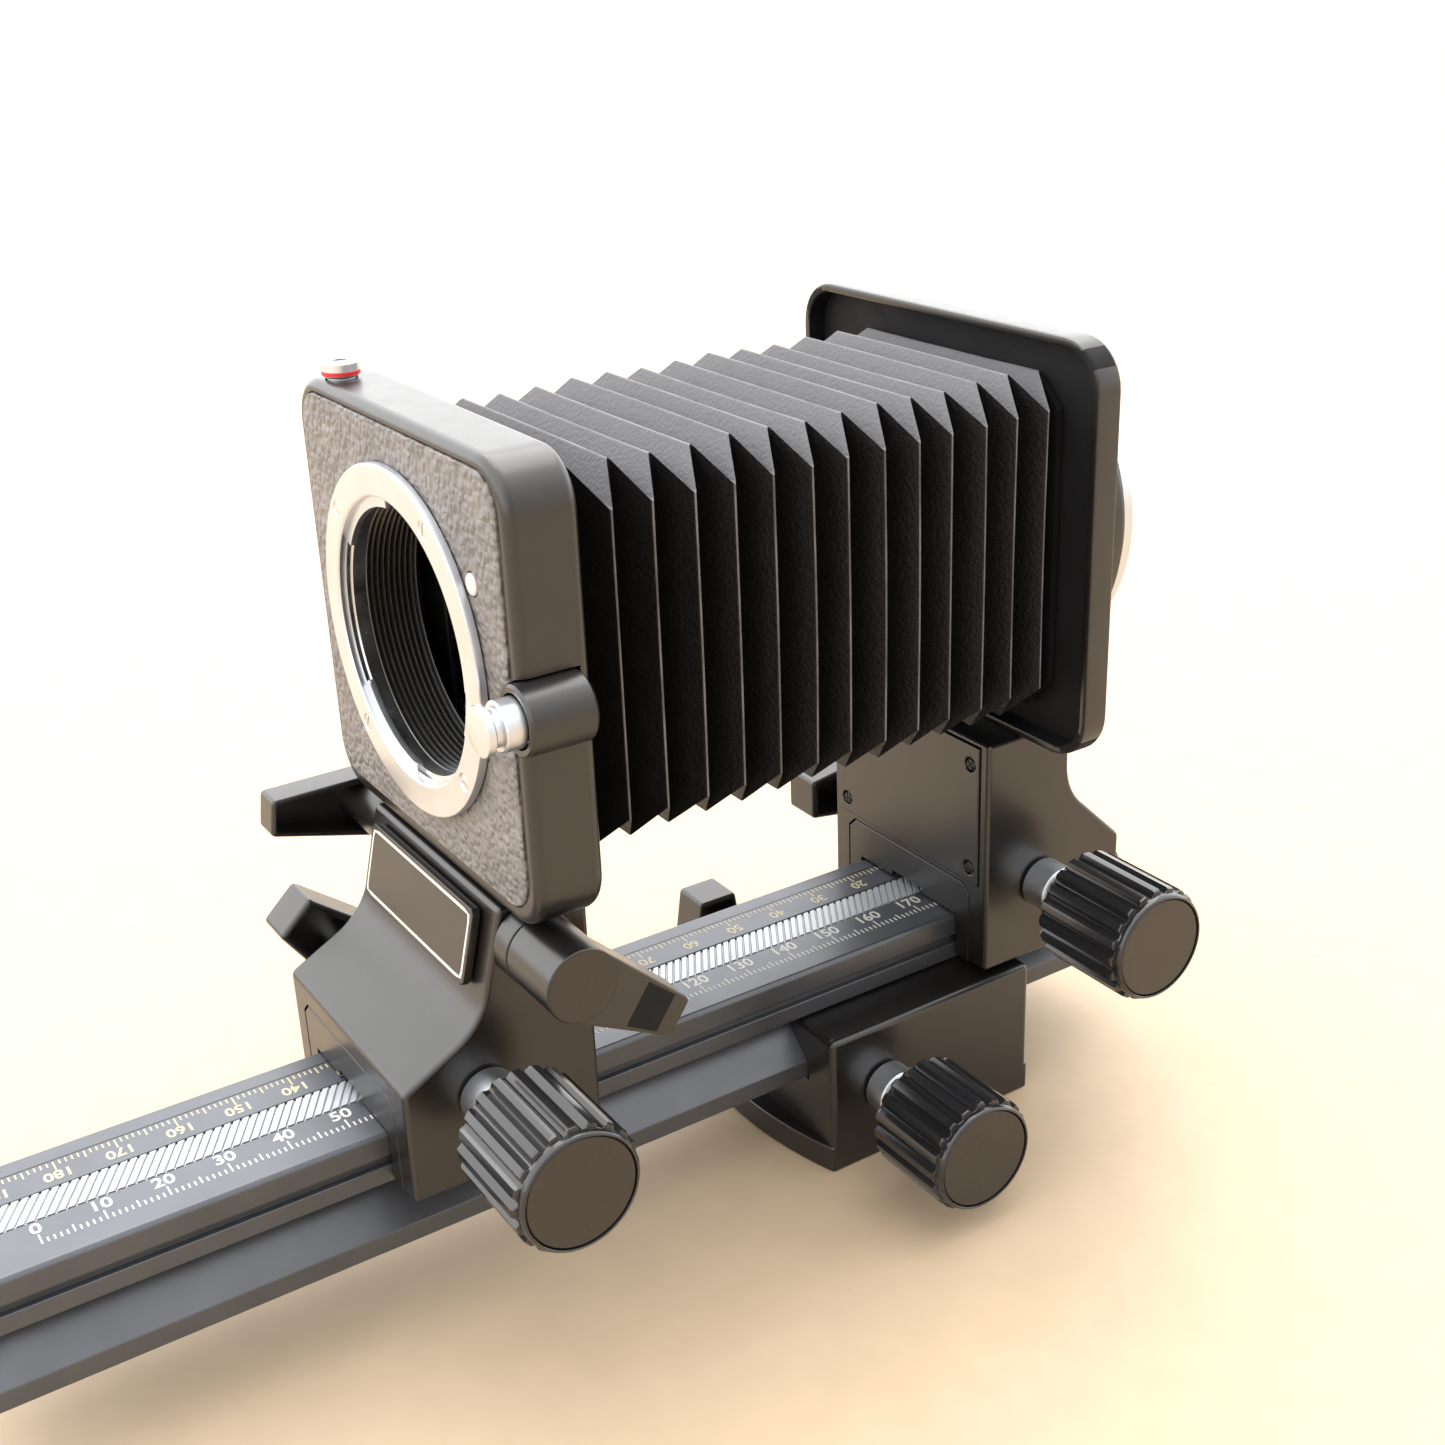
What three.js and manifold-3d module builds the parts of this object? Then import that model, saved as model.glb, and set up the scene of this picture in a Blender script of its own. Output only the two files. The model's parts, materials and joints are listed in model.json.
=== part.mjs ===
import * as THREE from "three";
import { mergeVertices } from "three/addons/utils/BufferGeometryUtils.js";
import Module from "manifold-3d";

// A macro bellows for a camera: a lens standard and a camera standard slide on a scaled rail, joined by
// a pleated bellows, and the rail slides in a block that screws to a tripod.
//
// Every length is in millimetres. x is across the rail and positive on the side of the drive knobs.
// While the pieces are made, y is the reading of the rail's scale, and z is the height over the rail's
// top face. The last lines shift the whole model so that its origin is the middle of the tripod seat.

const wasm = await Module();
wasm.setup();

// Driving dimensions
const GAP = 0.3;
const ROUND = 32;
const SMALL_ROUND = 16;

const SEAT_AT = 161;
const SEAT_DROP = 38.6;

const RAIL_START = -14;
const RAIL_LENGTH = 232;
const BAR_HALF = 14.8;
const BAR_DEPTH = 9.6;
const BAR_EDGE = 0.7;
const GROOVE_DEPTH = 1.3;
const GROOVE_TOP = -4.5;
const GROOVE_BOTTOM = -6.3;
const NECK_HALF = 9.5;
const NECK_DEPTH = 10.5;
const TAIL_HALF = 17;
const TAIL_TOP = -17.8;
const TAIL_BOTTOM = -21.3;
const CHANNEL_HALF = 5.5;
const CHANNEL_TOP = -15;

const MODULE = 0.5;
const RACK_PITCH = Math.PI * MODULE;
const RACK_HALF = 3.25;
const RACK_HEIGHT = 2.3;
const RACK_SEAT = RACK_HEIGHT + GAP;
const RACK_INSET = 4;

const STANDARD_HALF = 24;
const STANDARD_TOP = 39.2;
const STANDARD_FOOT = -8.6;
const FRONT_TOE = 54.3;
const FRONT_BACK = 89.3;
const REAR_FACE = 174.2;
const REAR_HEEL = 208.5;
const REAR_TOP_BACK = 194.3;
const GIB_HALF = 19;
const GIB_TOP = 8;
const GIB_THICK = 1.5;

const KNOB_RADIUS = 11;
const KNOB_FLUTES = 20;
const KNOB_FLUTE_DEPTH = 0.9;
const KNOB_START = 31.3;
const SHAFT_RADIUS = 2.7;
const BLOCK_SHAFT_RADIUS = 1.5;
const COLLAR_RADIUS = 6.3;
const PINION_HALF = 2.75;
const FRONT_KNOB_AT = 68.5;
const REAR_KNOB_AT = 187.8;
const KNOB_HEIGHT = 7.2;
const BLOCK_KNOB_AT = 149.2;
const BLOCK_KNOB_HEIGHT = -23.2;

const BLOCK_HALF = 25;
const BLOCK_LENGTH = 48;
const BLOCK_TOP = -10;
const LIP_HEIGHT = 5.6;
const LIP_BULGE = 4;

const LENS_HEIGHT = 77.3;
const LENS_FRAME_HALF = 38.2;
const LENS_FRAME_TOP = 114;
const LENS_FRAME_FOOT = 39.6;
const LENS_FRAME_FRONT = 73.8;
const LENS_FRAME_BACK = 85.6;
const FRAME_CORNER = 8.5;
const PANEL_HALF_X = 35.2;
const PANEL_HALF_Z = 34.5;
const MOUNT_FACE = 71.6;
const MOUNT_RADIUS = 28.8;
const THROAT_RADIUS = 23.5;

const CAMERA_FRAME_HALF_X = 41.4;
const CAMERA_FRAME_HALF_Z = 37.7;
const CAMERA_FRAME_WALL = 1.6;
const CAMERA_FRAME_FRONT = 180.9;
const CAMERA_FRAME_BACK = 186.2;
const CAMERA_BARREL_RADIUS = 32;
const CAMERA_BARREL_BACK = 198;
const CAMERA_FLANGE = 202;
const CAMERA_RING_RADIUS = 30;

const BELLOWS_HALF = 28;
const BELLOWS_TOP = 105;
const BELLOWS_FOOT = 48.4;
const BELLOWS_WALL = 2;
const BELLOWS_CHAMFER = 4;
const BELLOWS_MIDDLE = 137;

const LEVER_HUB_Y = 78.3;
const LEVER_HUB_Z = 32.5;
const LEVER_HUB_RADIUS = 6.2;

// Finishes
const finish = (color, roughness, metalness) =>
  new THREE.MeshStandardMaterial({ color, roughness, metalness });
const blackPaint = finish(0x1b1918, 0.45, 0.2);
const blackAnodised = finish(0x2a2a2d, 0.35, 0.6);
const blackPlastic = finish(0x101012, 0.25, 0);
const capPlastic = finish(0x1c1a19, 0.5, 0);
const leatherette = finish(0x3a3734, 0.8, 0);
const bellowsCloth = finish(0x17171a, 0.75, 0);
const chrome = finish(0xd8d8d6, 0.15, 1);
const steel = finish(0xb8bcc0, 0.3, 1);
const brass = finish(0xb08d4c, 0.35, 1);
const whitePaint = finish(0xf2f1ec, 0.5, 0);
const redPaint = finish(0xc8202a, 0.45, 0);

const assembly = new THREE.Group();
assembly.position.set(0, -SEAT_AT, SEAT_DROP);

function add(name, geometry, material) {
  const mesh = new THREE.Mesh(geometry, material);
  mesh.name = name;
  assembly.add(mesh);
  return mesh;
}

// Solids: three.js geometries in, joined and cut as manifolds, three.js geometries out
function toSolid(geometry) {
  const bare = geometry.clone();
  bare.deleteAttribute("normal");
  bare.deleteAttribute("uv");
  const merged = mergeVertices(bare, 1e-4);
  return new wasm.Manifold(new wasm.Mesh({
    numProp: 3,
    vertProperties: new Float32Array(merged.attributes.position.array),
    triVerts: new Uint32Array(merged.index.array),
  }));
}

function toGeometry(solid) {
  const mesh = solid.getMesh();
  const geometry = new THREE.BufferGeometry();
  geometry.setAttribute("position", new THREE.BufferAttribute(mesh.vertProperties, 3));
  geometry.setIndex(new THREE.BufferAttribute(mesh.triVerts, 1));
  return geometry;
}

function shape({ join = [], cut = [] }) {
  let solid = join.map(toSolid).reduce((a, b) => a.add(b));
  for (const tool of cut) solid = solid.subtract(toSolid(tool));
  return toGeometry(solid);
}

// A box between two corners
function box([x0, x1], [y0, y1], [z0, z1]) {
  const geometry = new THREE.BoxGeometry(x1 - x0, y1 - y0, z1 - z0);
  return geometry.translate((x0 + x1) / 2, (y0 + y1) / 2, (z0 + z1) / 2);
}

// Round bars along each axis, centred on the other two coordinates
function rodX(radius, [x0, x1], y, z, sides = ROUND) {
  const geometry = new THREE.CylinderGeometry(radius, radius, x1 - x0, sides);
  return geometry.rotateZ(-Math.PI / 2).translate((x0 + x1) / 2, y, z);
}

function rodY(radius, x, [y0, y1], z, sides = ROUND) {
  const geometry = new THREE.CylinderGeometry(radius, radius, y1 - y0, sides);
  return geometry.translate(x, (y0 + y1) / 2, z);
}

function rodZ(radius, x, y, [z0, z1], sides = ROUND) {
  const geometry = new THREE.CylinderGeometry(radius, radius, z1 - z0, sides);
  return geometry.rotateX(Math.PI / 2).translate(x, y, (z0 + z1) / 2);
}

// A turned piece: [radius, distance along the axis] points round a closed section, outer side first
function turned(points, sides = ROUND) {
  const closed = [...points, points[0]].map(([radius, along]) => new THREE.Vector2(radius, along));
  return new THREE.LatheGeometry(closed, sides);
}
const turnedX = (points, y, z, sides) =>
  turned(points, sides).rotateZ(-Math.PI / 2).translate(0, y, z);
const turnedY = (points, x, z, sides) => turned(points, sides).translate(x, 0, z);
const turnedZ = (points, x, y, sides) => turned(points, sides).rotateX(Math.PI / 2).translate(x, y, 0);

const toShape = (points) => new THREE.Shape(points.map(([a, b]) => new THREE.Vector2(a, b)));
const flat = { bevelEnabled: false, curveSegments: 4 };

// An outline of [y, z] points, extruded along x
function alongX(outline, [x0, x1]) {
  const source = outline instanceof THREE.Shape ? outline : toShape(outline);
  const geometry = new THREE.ExtrudeGeometry(source, { ...flat, depth: x1 - x0 });
  const turn = new THREE.Matrix4().makeBasis(
    new THREE.Vector3(0, 1, 0), new THREE.Vector3(0, 0, 1), new THREE.Vector3(1, 0, 0));
  return geometry.applyMatrix4(turn).translate(x0, 0, 0);
}

// An outline of [x, z] points, extruded along y
function alongY(outline, [y0, y1]) {
  const source = outline instanceof THREE.Shape ? outline : toShape(outline);
  const geometry = new THREE.ExtrudeGeometry(source, { ...flat, depth: y1 - y0 });
  const turn = new THREE.Matrix4().makeBasis(
    new THREE.Vector3(1, 0, 0), new THREE.Vector3(0, 0, 1), new THREE.Vector3(0, -1, 0));
  return geometry.applyMatrix4(turn).translate(0, y1, 0);
}

const mirrored = (right) => [...right, ...right.map(([x, z]) => [-x, z]).reverse()];

// A rectangle with round corners, centred on x = 0 and z = height
function roundedRectangle(halfX, halfZ, corner, height) {
  const outline = new THREE.Shape();
  const arcs = [[1, 1, 0], [-1, 1, 0.5], [-1, -1, 1], [1, -1, 1.5]];
  for (const [sideX, sideZ, start] of arcs) {
    outline.absarc(sideX * (halfX - corner), height + sideZ * (halfZ - corner), corner,
      start * Math.PI, (start + 0.5) * Math.PI, false);
  }
  return outline;
}

// A lever seen from its side: a round hub at the origin and an arm that tapers to a square tip
function leverOutline(hub, reach, tipHalf, angle, y, z, steps = 20) {
  const distance = Math.hypot(reach, tipHalf);
  const touch = Math.atan2(tipHalf, reach) + Math.acos(hub / distance);
  const points = [[reach, -tipHalf], [reach, tipHalf]];
  for (let i = 0; i <= steps; i += 1) {
    const turn = touch + (2 * (Math.PI - touch) * i) / steps;
    points.push([hub * Math.cos(turn), hub * Math.sin(turn)]);
  }
  const [c, s] = [Math.cos(angle), Math.sin(angle)];
  return points.map(([a, b]) => [y + a * c - b * s, z + a * s + b * c]);
}

// Rail: the bar that the standards ride on, and under it the dovetail that the tripod block holds
function railSection() {
  return mirrored([
    [RACK_HALF + GAP, -RACK_SEAT], [RACK_HALF + GAP, 0],
    [BAR_HALF - BAR_EDGE, 0], [BAR_HALF, -BAR_EDGE],
    [BAR_HALF, GROOVE_TOP], [BAR_HALF - GROOVE_DEPTH, GROOVE_TOP],
    [BAR_HALF - GROOVE_DEPTH, GROOVE_BOTTOM], [BAR_HALF, GROOVE_BOTTOM],
    [BAR_HALF, -BAR_DEPTH], [NECK_HALF, -BAR_DEPTH], [NECK_HALF, -NECK_DEPTH],
    [TAIL_HALF, TAIL_TOP], [TAIL_HALF, TAIL_BOTTOM],
    [CHANNEL_HALF, TAIL_BOTTOM], [CHANNEL_HALF, CHANNEL_TOP],
  ]);
}

// A rack's side outline, teeth up, from its seat to the tips of its teeth
function rackOutline(start, end, seat, tip) {
  const root = tip - (tip - seat) * 0.5;
  const count = Math.floor((end - start) / RACK_PITCH);
  const points = [[start + count * RACK_PITCH, seat], [start, seat]];
  for (let tooth = 0; tooth < count; tooth += 1) {
    const at = start + tooth * RACK_PITCH;
    points.push([at, root], [at + RACK_PITCH / 2, tip]);
  }
  points.push([start + count * RACK_PITCH, root]);
  return points;
}

function makeRail() {
  const railEnd = RAIL_START + RAIL_LENGTH;
  const span = [RAIL_START, railEnd];
  add("rail", alongY(railSection(), span), blackAnodised);

  const rackSpan = [RAIL_START + RACK_INSET, railEnd - RACK_INSET];
  const halves = [-RACK_HALF, RACK_HALF];
  add("top_rack", alongX(rackOutline(...rackSpan, -RACK_HEIGHT, 0), halves), steel);
  const lowerSeat = CHANNEL_TOP - GAP;
  add("bottom_rack", alongX(rackOutline(...rackSpan, lowerSeat, lowerSeat - RACK_HEIGHT), halves),
    steel);

  const stopLength = 3;
  for (const [name, start] of [["rail_front_stop", RAIL_START + 0.5],
    ["rail_rear_stop", railEnd - 0.5 - stopLength]]) {
    const body = box([-RACK_HALF, RACK_HALF], [start, start + stopLength], [-RACK_HEIGHT, 0]);
    const head = rodZ(1.4, 0, start + stopLength / 2, [-0.4, 2.4], SMALL_ROUND);
    add(name, shape({ join: [body, head] }), steel);
  }
}

// The tunnel that a standard rides the rail with: it clears the bar and the rack, and a rib on each
// side runs in the bar's groove
function tunnelOutline() {
  const side = BAR_HALF + GAP;
  const rib = BAR_HALF - GROOVE_DEPTH + 0.4;
  const below = STANDARD_FOOT - 1;
  return mirrored([
    [side, below], [side, GROOVE_BOTTOM + 0.35], [rib, GROOVE_BOTTOM + 0.6],
    [rib, GROOVE_TOP - 0.6], [side, GROOVE_TOP - 0.35], [side, GAP], [RACK_HALF + 1.5, GAP],
    [RACK_HALF + 1.5, 1.4],
  ]);
}

function gibOutline(half, top, foot) {
  const corner = 2;
  const tunnel = tunnelOutline().filter(([, z]) => z > foot);
  const outer = [[-BAR_HALF - GAP, foot], [-half, foot], [-half, top - corner],
    [-half + corner, top], [half - corner, top], [half, top - corner], [half, foot],
    [BAR_HALF + GAP, foot]];
  return [...outer, ...tunnel];
}

// The hollow for a pinion and its brake disc, and the holes for the shaft and for the lock's spindle
function driveHollows({ half, y, z, shaft, pinion }) {
  return [
    rodX(pinion + 0.4, [-PINION_HALF - 3, PINION_HALF + GAP], y, z),
    rodX(shaft + GAP, [-half - 1, half + 1], y, z, SMALL_ROUND),
  ];
}

function flutedOutline(y, z) {
  const points = [];
  const perFlute = 4;
  for (let i = 0; i < KNOB_FLUTES * perFlute; i += 1) {
    const turn = (2 * Math.PI * i) / (KNOB_FLUTES * perFlute);
    const wave = Math.cos(KNOB_FLUTES * turn);
    const radius = KNOB_RADIUS - KNOB_FLUTE_DEPTH * Math.max(0, -wave);
    points.push([y + radius * Math.cos(turn), z + radius * Math.sin(turn)]);
  }
  return points;
}

function pinionOutline(tipRadius, y, z) {
  const teeth = Math.round((2 * tipRadius) / MODULE) - 2;
  const points = [];
  for (let tooth = 0; tooth < teeth; tooth += 1) {
    const at = (2 * Math.PI * (tooth + 0.25)) / teeth;
    const step = (2 * Math.PI) / teeth;
    points.push([tipRadius, at], [tipRadius - 2 * MODULE, at + step / 2]);
  }
  return points.map(([r, turn]) => [y + r * Math.cos(turn), z + r * Math.sin(turn)]);
}

// Knob, cap, bearing collar, shaft, pinion, brake disc and lock lever of one drive
function makeDrive(prefix, { half, y, z, shaft, pinion, knobEnd, lockAngle }) {
  const start = half + GAP;
  const collarEnd = KNOB_START - GAP;
  const bore = shaft + GAP;
  add(`${prefix}_bearing_collar`, turnedX([
    [bore, start], [COLLAR_RADIUS, start], [COLLAR_RADIUS + 0.2, start + 1.5],
    [COLLAR_RADIUS - 0.5, collarEnd - 0.8], [COLLAR_RADIUS - 1.3, collarEnd], [bore, collarEnd],
  ], y, z), chrome);

  const shaftEnd = KNOB_START + 9;
  add(`${prefix}_shaft`, rodX(shaft, [PINION_HALF + GAP, shaftEnd], y, z, SMALL_ROUND), steel);
  add(`${prefix}_pinion`,
    alongX(pinionOutline(pinion, y, z), [-PINION_HALF, PINION_HALF]), brass);

  const capRadius = KNOB_RADIUS - 1.4;
  add(`${prefix}_knob`, shape({
    join: [alongX(flutedOutline(y, z), [KNOB_START, knobEnd])],
    cut: [
      rodX(bore, [KNOB_START - 1, shaftEnd + GAP], y, z, SMALL_ROUND),
      rodX(capRadius, [knobEnd - 1.8, knobEnd + 1], y, z),
    ],
  }), blackPlastic);
  add(`${prefix}_knob_cap`,
    rodX(capRadius - GAP, [knobEnd - 1.5, knobEnd - 0.5], y, z), capPlastic);

  const discEnd = -PINION_HALF - GAP;
  add(`${prefix}_brake_disc`, rodX(4.5, [discEnd - 1.6, discEnd], y, z, SMALL_ROUND), brass);
  const leverInside = -half - 6.5;
  add(`${prefix}_lock_lever`, shape({
    join: [
      alongX(leverOutline(6.5, 14.5, 4.2, lockAngle, y, z), [leverInside - 9, leverInside]),
      rodX(4, [leverInside - 1, -half - GAP], y, z, SMALL_ROUND),
      rodX(shaft, [-half - 1, discEnd - 1.9], y, z, SMALL_ROUND),
    ],
  }), blackPaint);
}

// Lens standard: the carriage and pedestal in one casting
function frontStandardOutline() {
  const outline = new THREE.Shape();
  outline.moveTo(FRONT_TOE, STANDARD_FOOT);
  outline.lineTo(FRONT_BACK, STANDARD_FOOT);
  outline.lineTo(FRONT_BACK, STANDARD_TOP);
  outline.lineTo(FRONT_TOE + 19.3, STANDARD_TOP);
  outline.lineTo(FRONT_TOE + 15.6, 24);
  outline.quadraticCurveTo(FRONT_TOE + 14, 19.4, FRONT_TOE + 9.2, 16.8);
  outline.lineTo(FRONT_TOE, 11.6);
  return outline;
}

const standardDrive = {
  half: STANDARD_HALF, z: KNOB_HEIGHT, shaft: SHAFT_RADIUS, pinion: KNOB_HEIGHT - GAP, knobEnd: 56,
};

function makeFrontStandard() {
  const width = [-STANDARD_HALF, STANDARD_HALF];
  const whole = [FRONT_TOE - 1, FRONT_BACK + 1];
  const drive = { ...standardDrive, y: FRONT_KNOB_AT, lockAngle: 0.74 * Math.PI };
  const gibPocket = [FRONT_TOE - 1, FRONT_TOE + GIB_THICK + GAP];
  add("front_carriage", shape({
    join: [alongX(frontStandardOutline(), width)],
    cut: [
      alongY(tunnelOutline(), whole),
      alongY(gibOutline(GIB_HALF + GAP, GIB_TOP + GAP, STANDARD_FOOT - 2), gibPocket),
      ...driveHollows(drive),
      rodX(3.3, [-STANDARD_HALF - 1, STANDARD_HALF + 1], LEVER_HUB_Y, LEVER_HUB_Z, SMALL_ROUND),
    ],
  }), blackPaint);
  add("front_gib_plate", alongY(gibOutline(GIB_HALF, GIB_TOP, STANDARD_FOOT),
    [FRONT_TOE, FRONT_TOE + GIB_THICK]), blackPaint);
  makeDrive("front", drive);

  // The plate leans back with the face of the pedestal
  const lean = Math.atan2(3.7, STANDARD_TOP - 24);
  const plate = add("nameplate", new THREE.BoxGeometry(39.4, 1.5, 13.4), blackPaint);
  plate.rotation.x = -lean;
  plate.position.set(0, FRONT_TOE + 16.1, 31.3);
}

// Levers of the lens standard: the panel lock on the right and the stop-down lever on the left
function makeFrontLevers() {
  const [y, z] = [LEVER_HUB_Y, LEVER_HUB_Z];
  const stem = 3;
  const rightAngle = -0.617;
  const band = leverOutline(0.1, 6, 8, rightAngle, y, z, 4);
  const bandShift = [11.4 * Math.cos(rightAngle), 11.4 * Math.sin(rightAngle)];
  add("panel_lock_boss", turnedX([[stem + GAP, 24.3], [6.4, 24.3], [6.4, 28.7], [stem + GAP, 28.7]],
    y, z), blackPaint);
  add("panel_lock_lever", shape({
    join: [
      rodX(LEVER_HUB_RADIUS, [29, 42], y, z),
      alongX(leverOutline(LEVER_HUB_RADIUS, 20.6, 3.3, rightAngle, y, z), [35, 42]),
      rodX(stem, [10, 30], y, z, SMALL_ROUND),
    ],
    cut: [alongX(band, [41.4, 43]).translate(0, ...bandShift)],
  }), blackPaint);

  const leftAngle = 0.955 * Math.PI;
  const pocket = leverOutline(LEVER_HUB_RADIUS - 1.4, 18.2, 2.2, leftAngle, y, z);
  add("stop_down_lever", shape({
    join: [
      alongX(leverOutline(LEVER_HUB_RADIUS, 19.6, 3.4, leftAngle, y, z), [-43, -36.5]),
      rodX(4.6, [-37, -24.3], y, z, SMALL_ROUND),
      rodX(stem, [-25, -10], y, z, SMALL_ROUND),
    ],
    cut: [shape({ join: [alongX(pocket, [-41, -36])], cut: [rodX(4.7, [-42, -35], y, z)] })],
  }), blackPaint);
}

// Lens frame with its leather panel, bayonet ring, throat, release and cable socket
function makeLensFrame() {
  const [front, back, height] = [LENS_FRAME_FRONT, LENS_FRAME_BACK, LENS_HEIGHT];
  const [releaseX, releaseZ, releaseRadius] = [38.6, 76.8, 5.5];
  const releaseSpan = [MOUNT_FACE + 0.7, 83.4];
  const releaseRoom = rodY(releaseRadius + GAP, releaseX, [60, releaseSpan[1] + GAP], releaseZ);
  const dot = { x: 26.3, z: 94, radius: 1.7 };
  const [socketX, socketY, socketTop] = [-27.3, 78, LENS_FRAME_TOP];
  const frameMiddle = (LENS_FRAME_TOP + LENS_FRAME_FOOT) / 2;
  const frameHalfZ = (LENS_FRAME_TOP - LENS_FRAME_FOOT) / 2;

  add("lens_frame", shape({
    join: [alongY(roundedRectangle(LENS_FRAME_HALF, frameHalfZ, FRAME_CORNER, frameMiddle),
      [front, back])],
    cut: [
      alongY(roundedRectangle(PANEL_HALF_X + GAP, PANEL_HALF_Z + GAP, 6, height),
        [front - 1, front + 0.6]),
      rodY(25.6, 0, [front - 1, back + 1], height),
      releaseRoom,
      rodZ(2.7, socketX, socketY, [socketTop - 5, socketTop + 1], SMALL_ROUND),
    ],
  }), blackPaint);
  add("lens_panel_leather", shape({
    join: [alongY(roundedRectangle(PANEL_HALF_X, PANEL_HALF_Z, 6, height),
      [front - 0.5, front + 0.3])],
    cut: [rodY(26.9, 0, [front - 2, front + 2], height), releaseRoom,
      rodY(dot.radius + GAP, dot.x, [front - 2, front + 2], dot.z, SMALL_ROUND)],
  }), leatherette);
  add("lens_index_dot", rodY(dot.radius, dot.x, [front - 0.8, front + 0.3], dot.z, SMALL_ROUND),
    whitePaint);

  const ringBack = front - 0.8;
  const screwCircle = 26.3;
  const screwAngles = [0.32, 0.77, 1.27, 1.78].map((part) => part * Math.PI);
  const screwSeats = screwAngles.map((turn) => [screwCircle * Math.cos(turn),
    height + screwCircle * Math.sin(turn)]);
  add("lens_mount_ring", shape({
    join: [turnedY([[THROAT_RADIUS, MOUNT_FACE], [THROAT_RADIUS, front + 0.3], [26.6, front + 0.3],
      [26.6, ringBack], [MOUNT_RADIUS, ringBack], [MOUNT_RADIUS, MOUNT_FACE]].reverse(), 0, height, 40)],
    cut: screwSeats.map(([x, z]) => rodY(1.5, x, [MOUNT_FACE - 1, MOUNT_FACE + 0.9], z, 8)),
  }), chrome);
  add("lens_throat_tube", turnedY([[22.6, front + 0.6], [22.6, back - 0.3], [25.3, back - 0.3],
    [25.3, front + 0.6]].reverse(), 0, height, 40), blackPaint);

  const bore = 4.3;
  const shoulder = 76.5;
  add("release_boss", turnedY([[bore, releaseSpan[0]], [bore, shoulder], [2.8, shoulder],
    [2.8, releaseSpan[1]], [releaseRadius, releaseSpan[1]], [releaseRadius, releaseSpan[0]]].reverse(),
  releaseX, releaseZ, 24), blackPaint);
  add("lens_release_button", turnedY([[0, 66.3], [3.9, 66.3], [3.9, 67.8], [2.9, 67.8],
    [2.9, 69.2], [3.9, 69.2], [3.9, 72.6], [2.5, 72.6], [2.5, 80.5], [0, 80.5]], releaseX, releaseZ, 24),
  chrome);
  add("release_spring", turnedY([[2.9, 73.1], [2.9, 76.1], [3.9, 76.1], [3.9, 73.1]].reverse(),
    releaseX, releaseZ, SMALL_ROUND), steel);

  add("cable_socket", turnedZ([[1.4, socketTop - 4.5], [2.4, socketTop - 4.5],
    [2.4, socketTop + 0.4], [3.1, socketTop + 0.4], [3.1, socketTop + 3.2], [1.4, socketTop + 3.2]],
  socketX, socketY, SMALL_ROUND), chrome);
}

// The bellows, plain: one sleeve on each side of its middle, and the plate at each end. Their section is
// a rectangle with cut corners, which shrinks by inset on every side.
function sleeveOutline(inset) {
  const half = BELLOWS_HALF - inset;
  const top = BELLOWS_TOP - inset;
  const foot = BELLOWS_FOOT + inset;
  const chamfer = BELLOWS_CHAMFER - inset / 2;
  return mirrored([[half - chamfer, top], [half, top - chamfer], [half, foot + chamfer],
    [half - chamfer, foot]]);
}

function makeBellows() {
  const frontPlate = [LENS_FRAME_BACK + GAP, LENS_FRAME_BACK + 1.5];
  const rearPlate = [183.2, CAMERA_FRAME_BACK - 1.9];
  const halves = [
    ["bellows_front_half", [frontPlate[1] + GAP, BELLOWS_MIDDLE - GAP / 2]],
    ["bellows_rear_half", [BELLOWS_MIDDLE + GAP / 2, rearPlate[0] - GAP]],
  ];
  const sleeve = (name, span, outside, inside, material) => add(name, shape({
    join: [alongY(sleeveOutline(outside), span)],
    cut: [alongY(sleeveOutline(inside), [span[0] - 1, span[1] + 1])],
  }), material);
  for (const [name, span] of [["bellows_front_plate", frontPlate], ["bellows_rear_plate", rearPlate]]) {
    sleeve(name, span, -1.5, 3.2, blackPaint);
  }
  for (const [name, span] of halves) sleeve(name, span, 0, BELLOWS_WALL, bellowsCloth);
}

// Camera standard: the carriage and pedestal in one casting
function rearStandardOutline() {
  const outline = new THREE.Shape();
  outline.moveTo(REAR_FACE, STANDARD_FOOT);
  outline.lineTo(REAR_HEEL, STANDARD_FOOT);
  outline.lineTo(REAR_HEEL, 10.8);
  outline.lineTo(REAR_TOP_BACK + 4, 21);
  outline.quadraticCurveTo(REAR_TOP_BACK, 24.8, REAR_TOP_BACK, 30);
  outline.lineTo(REAR_TOP_BACK, STANDARD_TOP);
  outline.lineTo(REAR_FACE, STANDARD_TOP);
  return outline;
}

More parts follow.
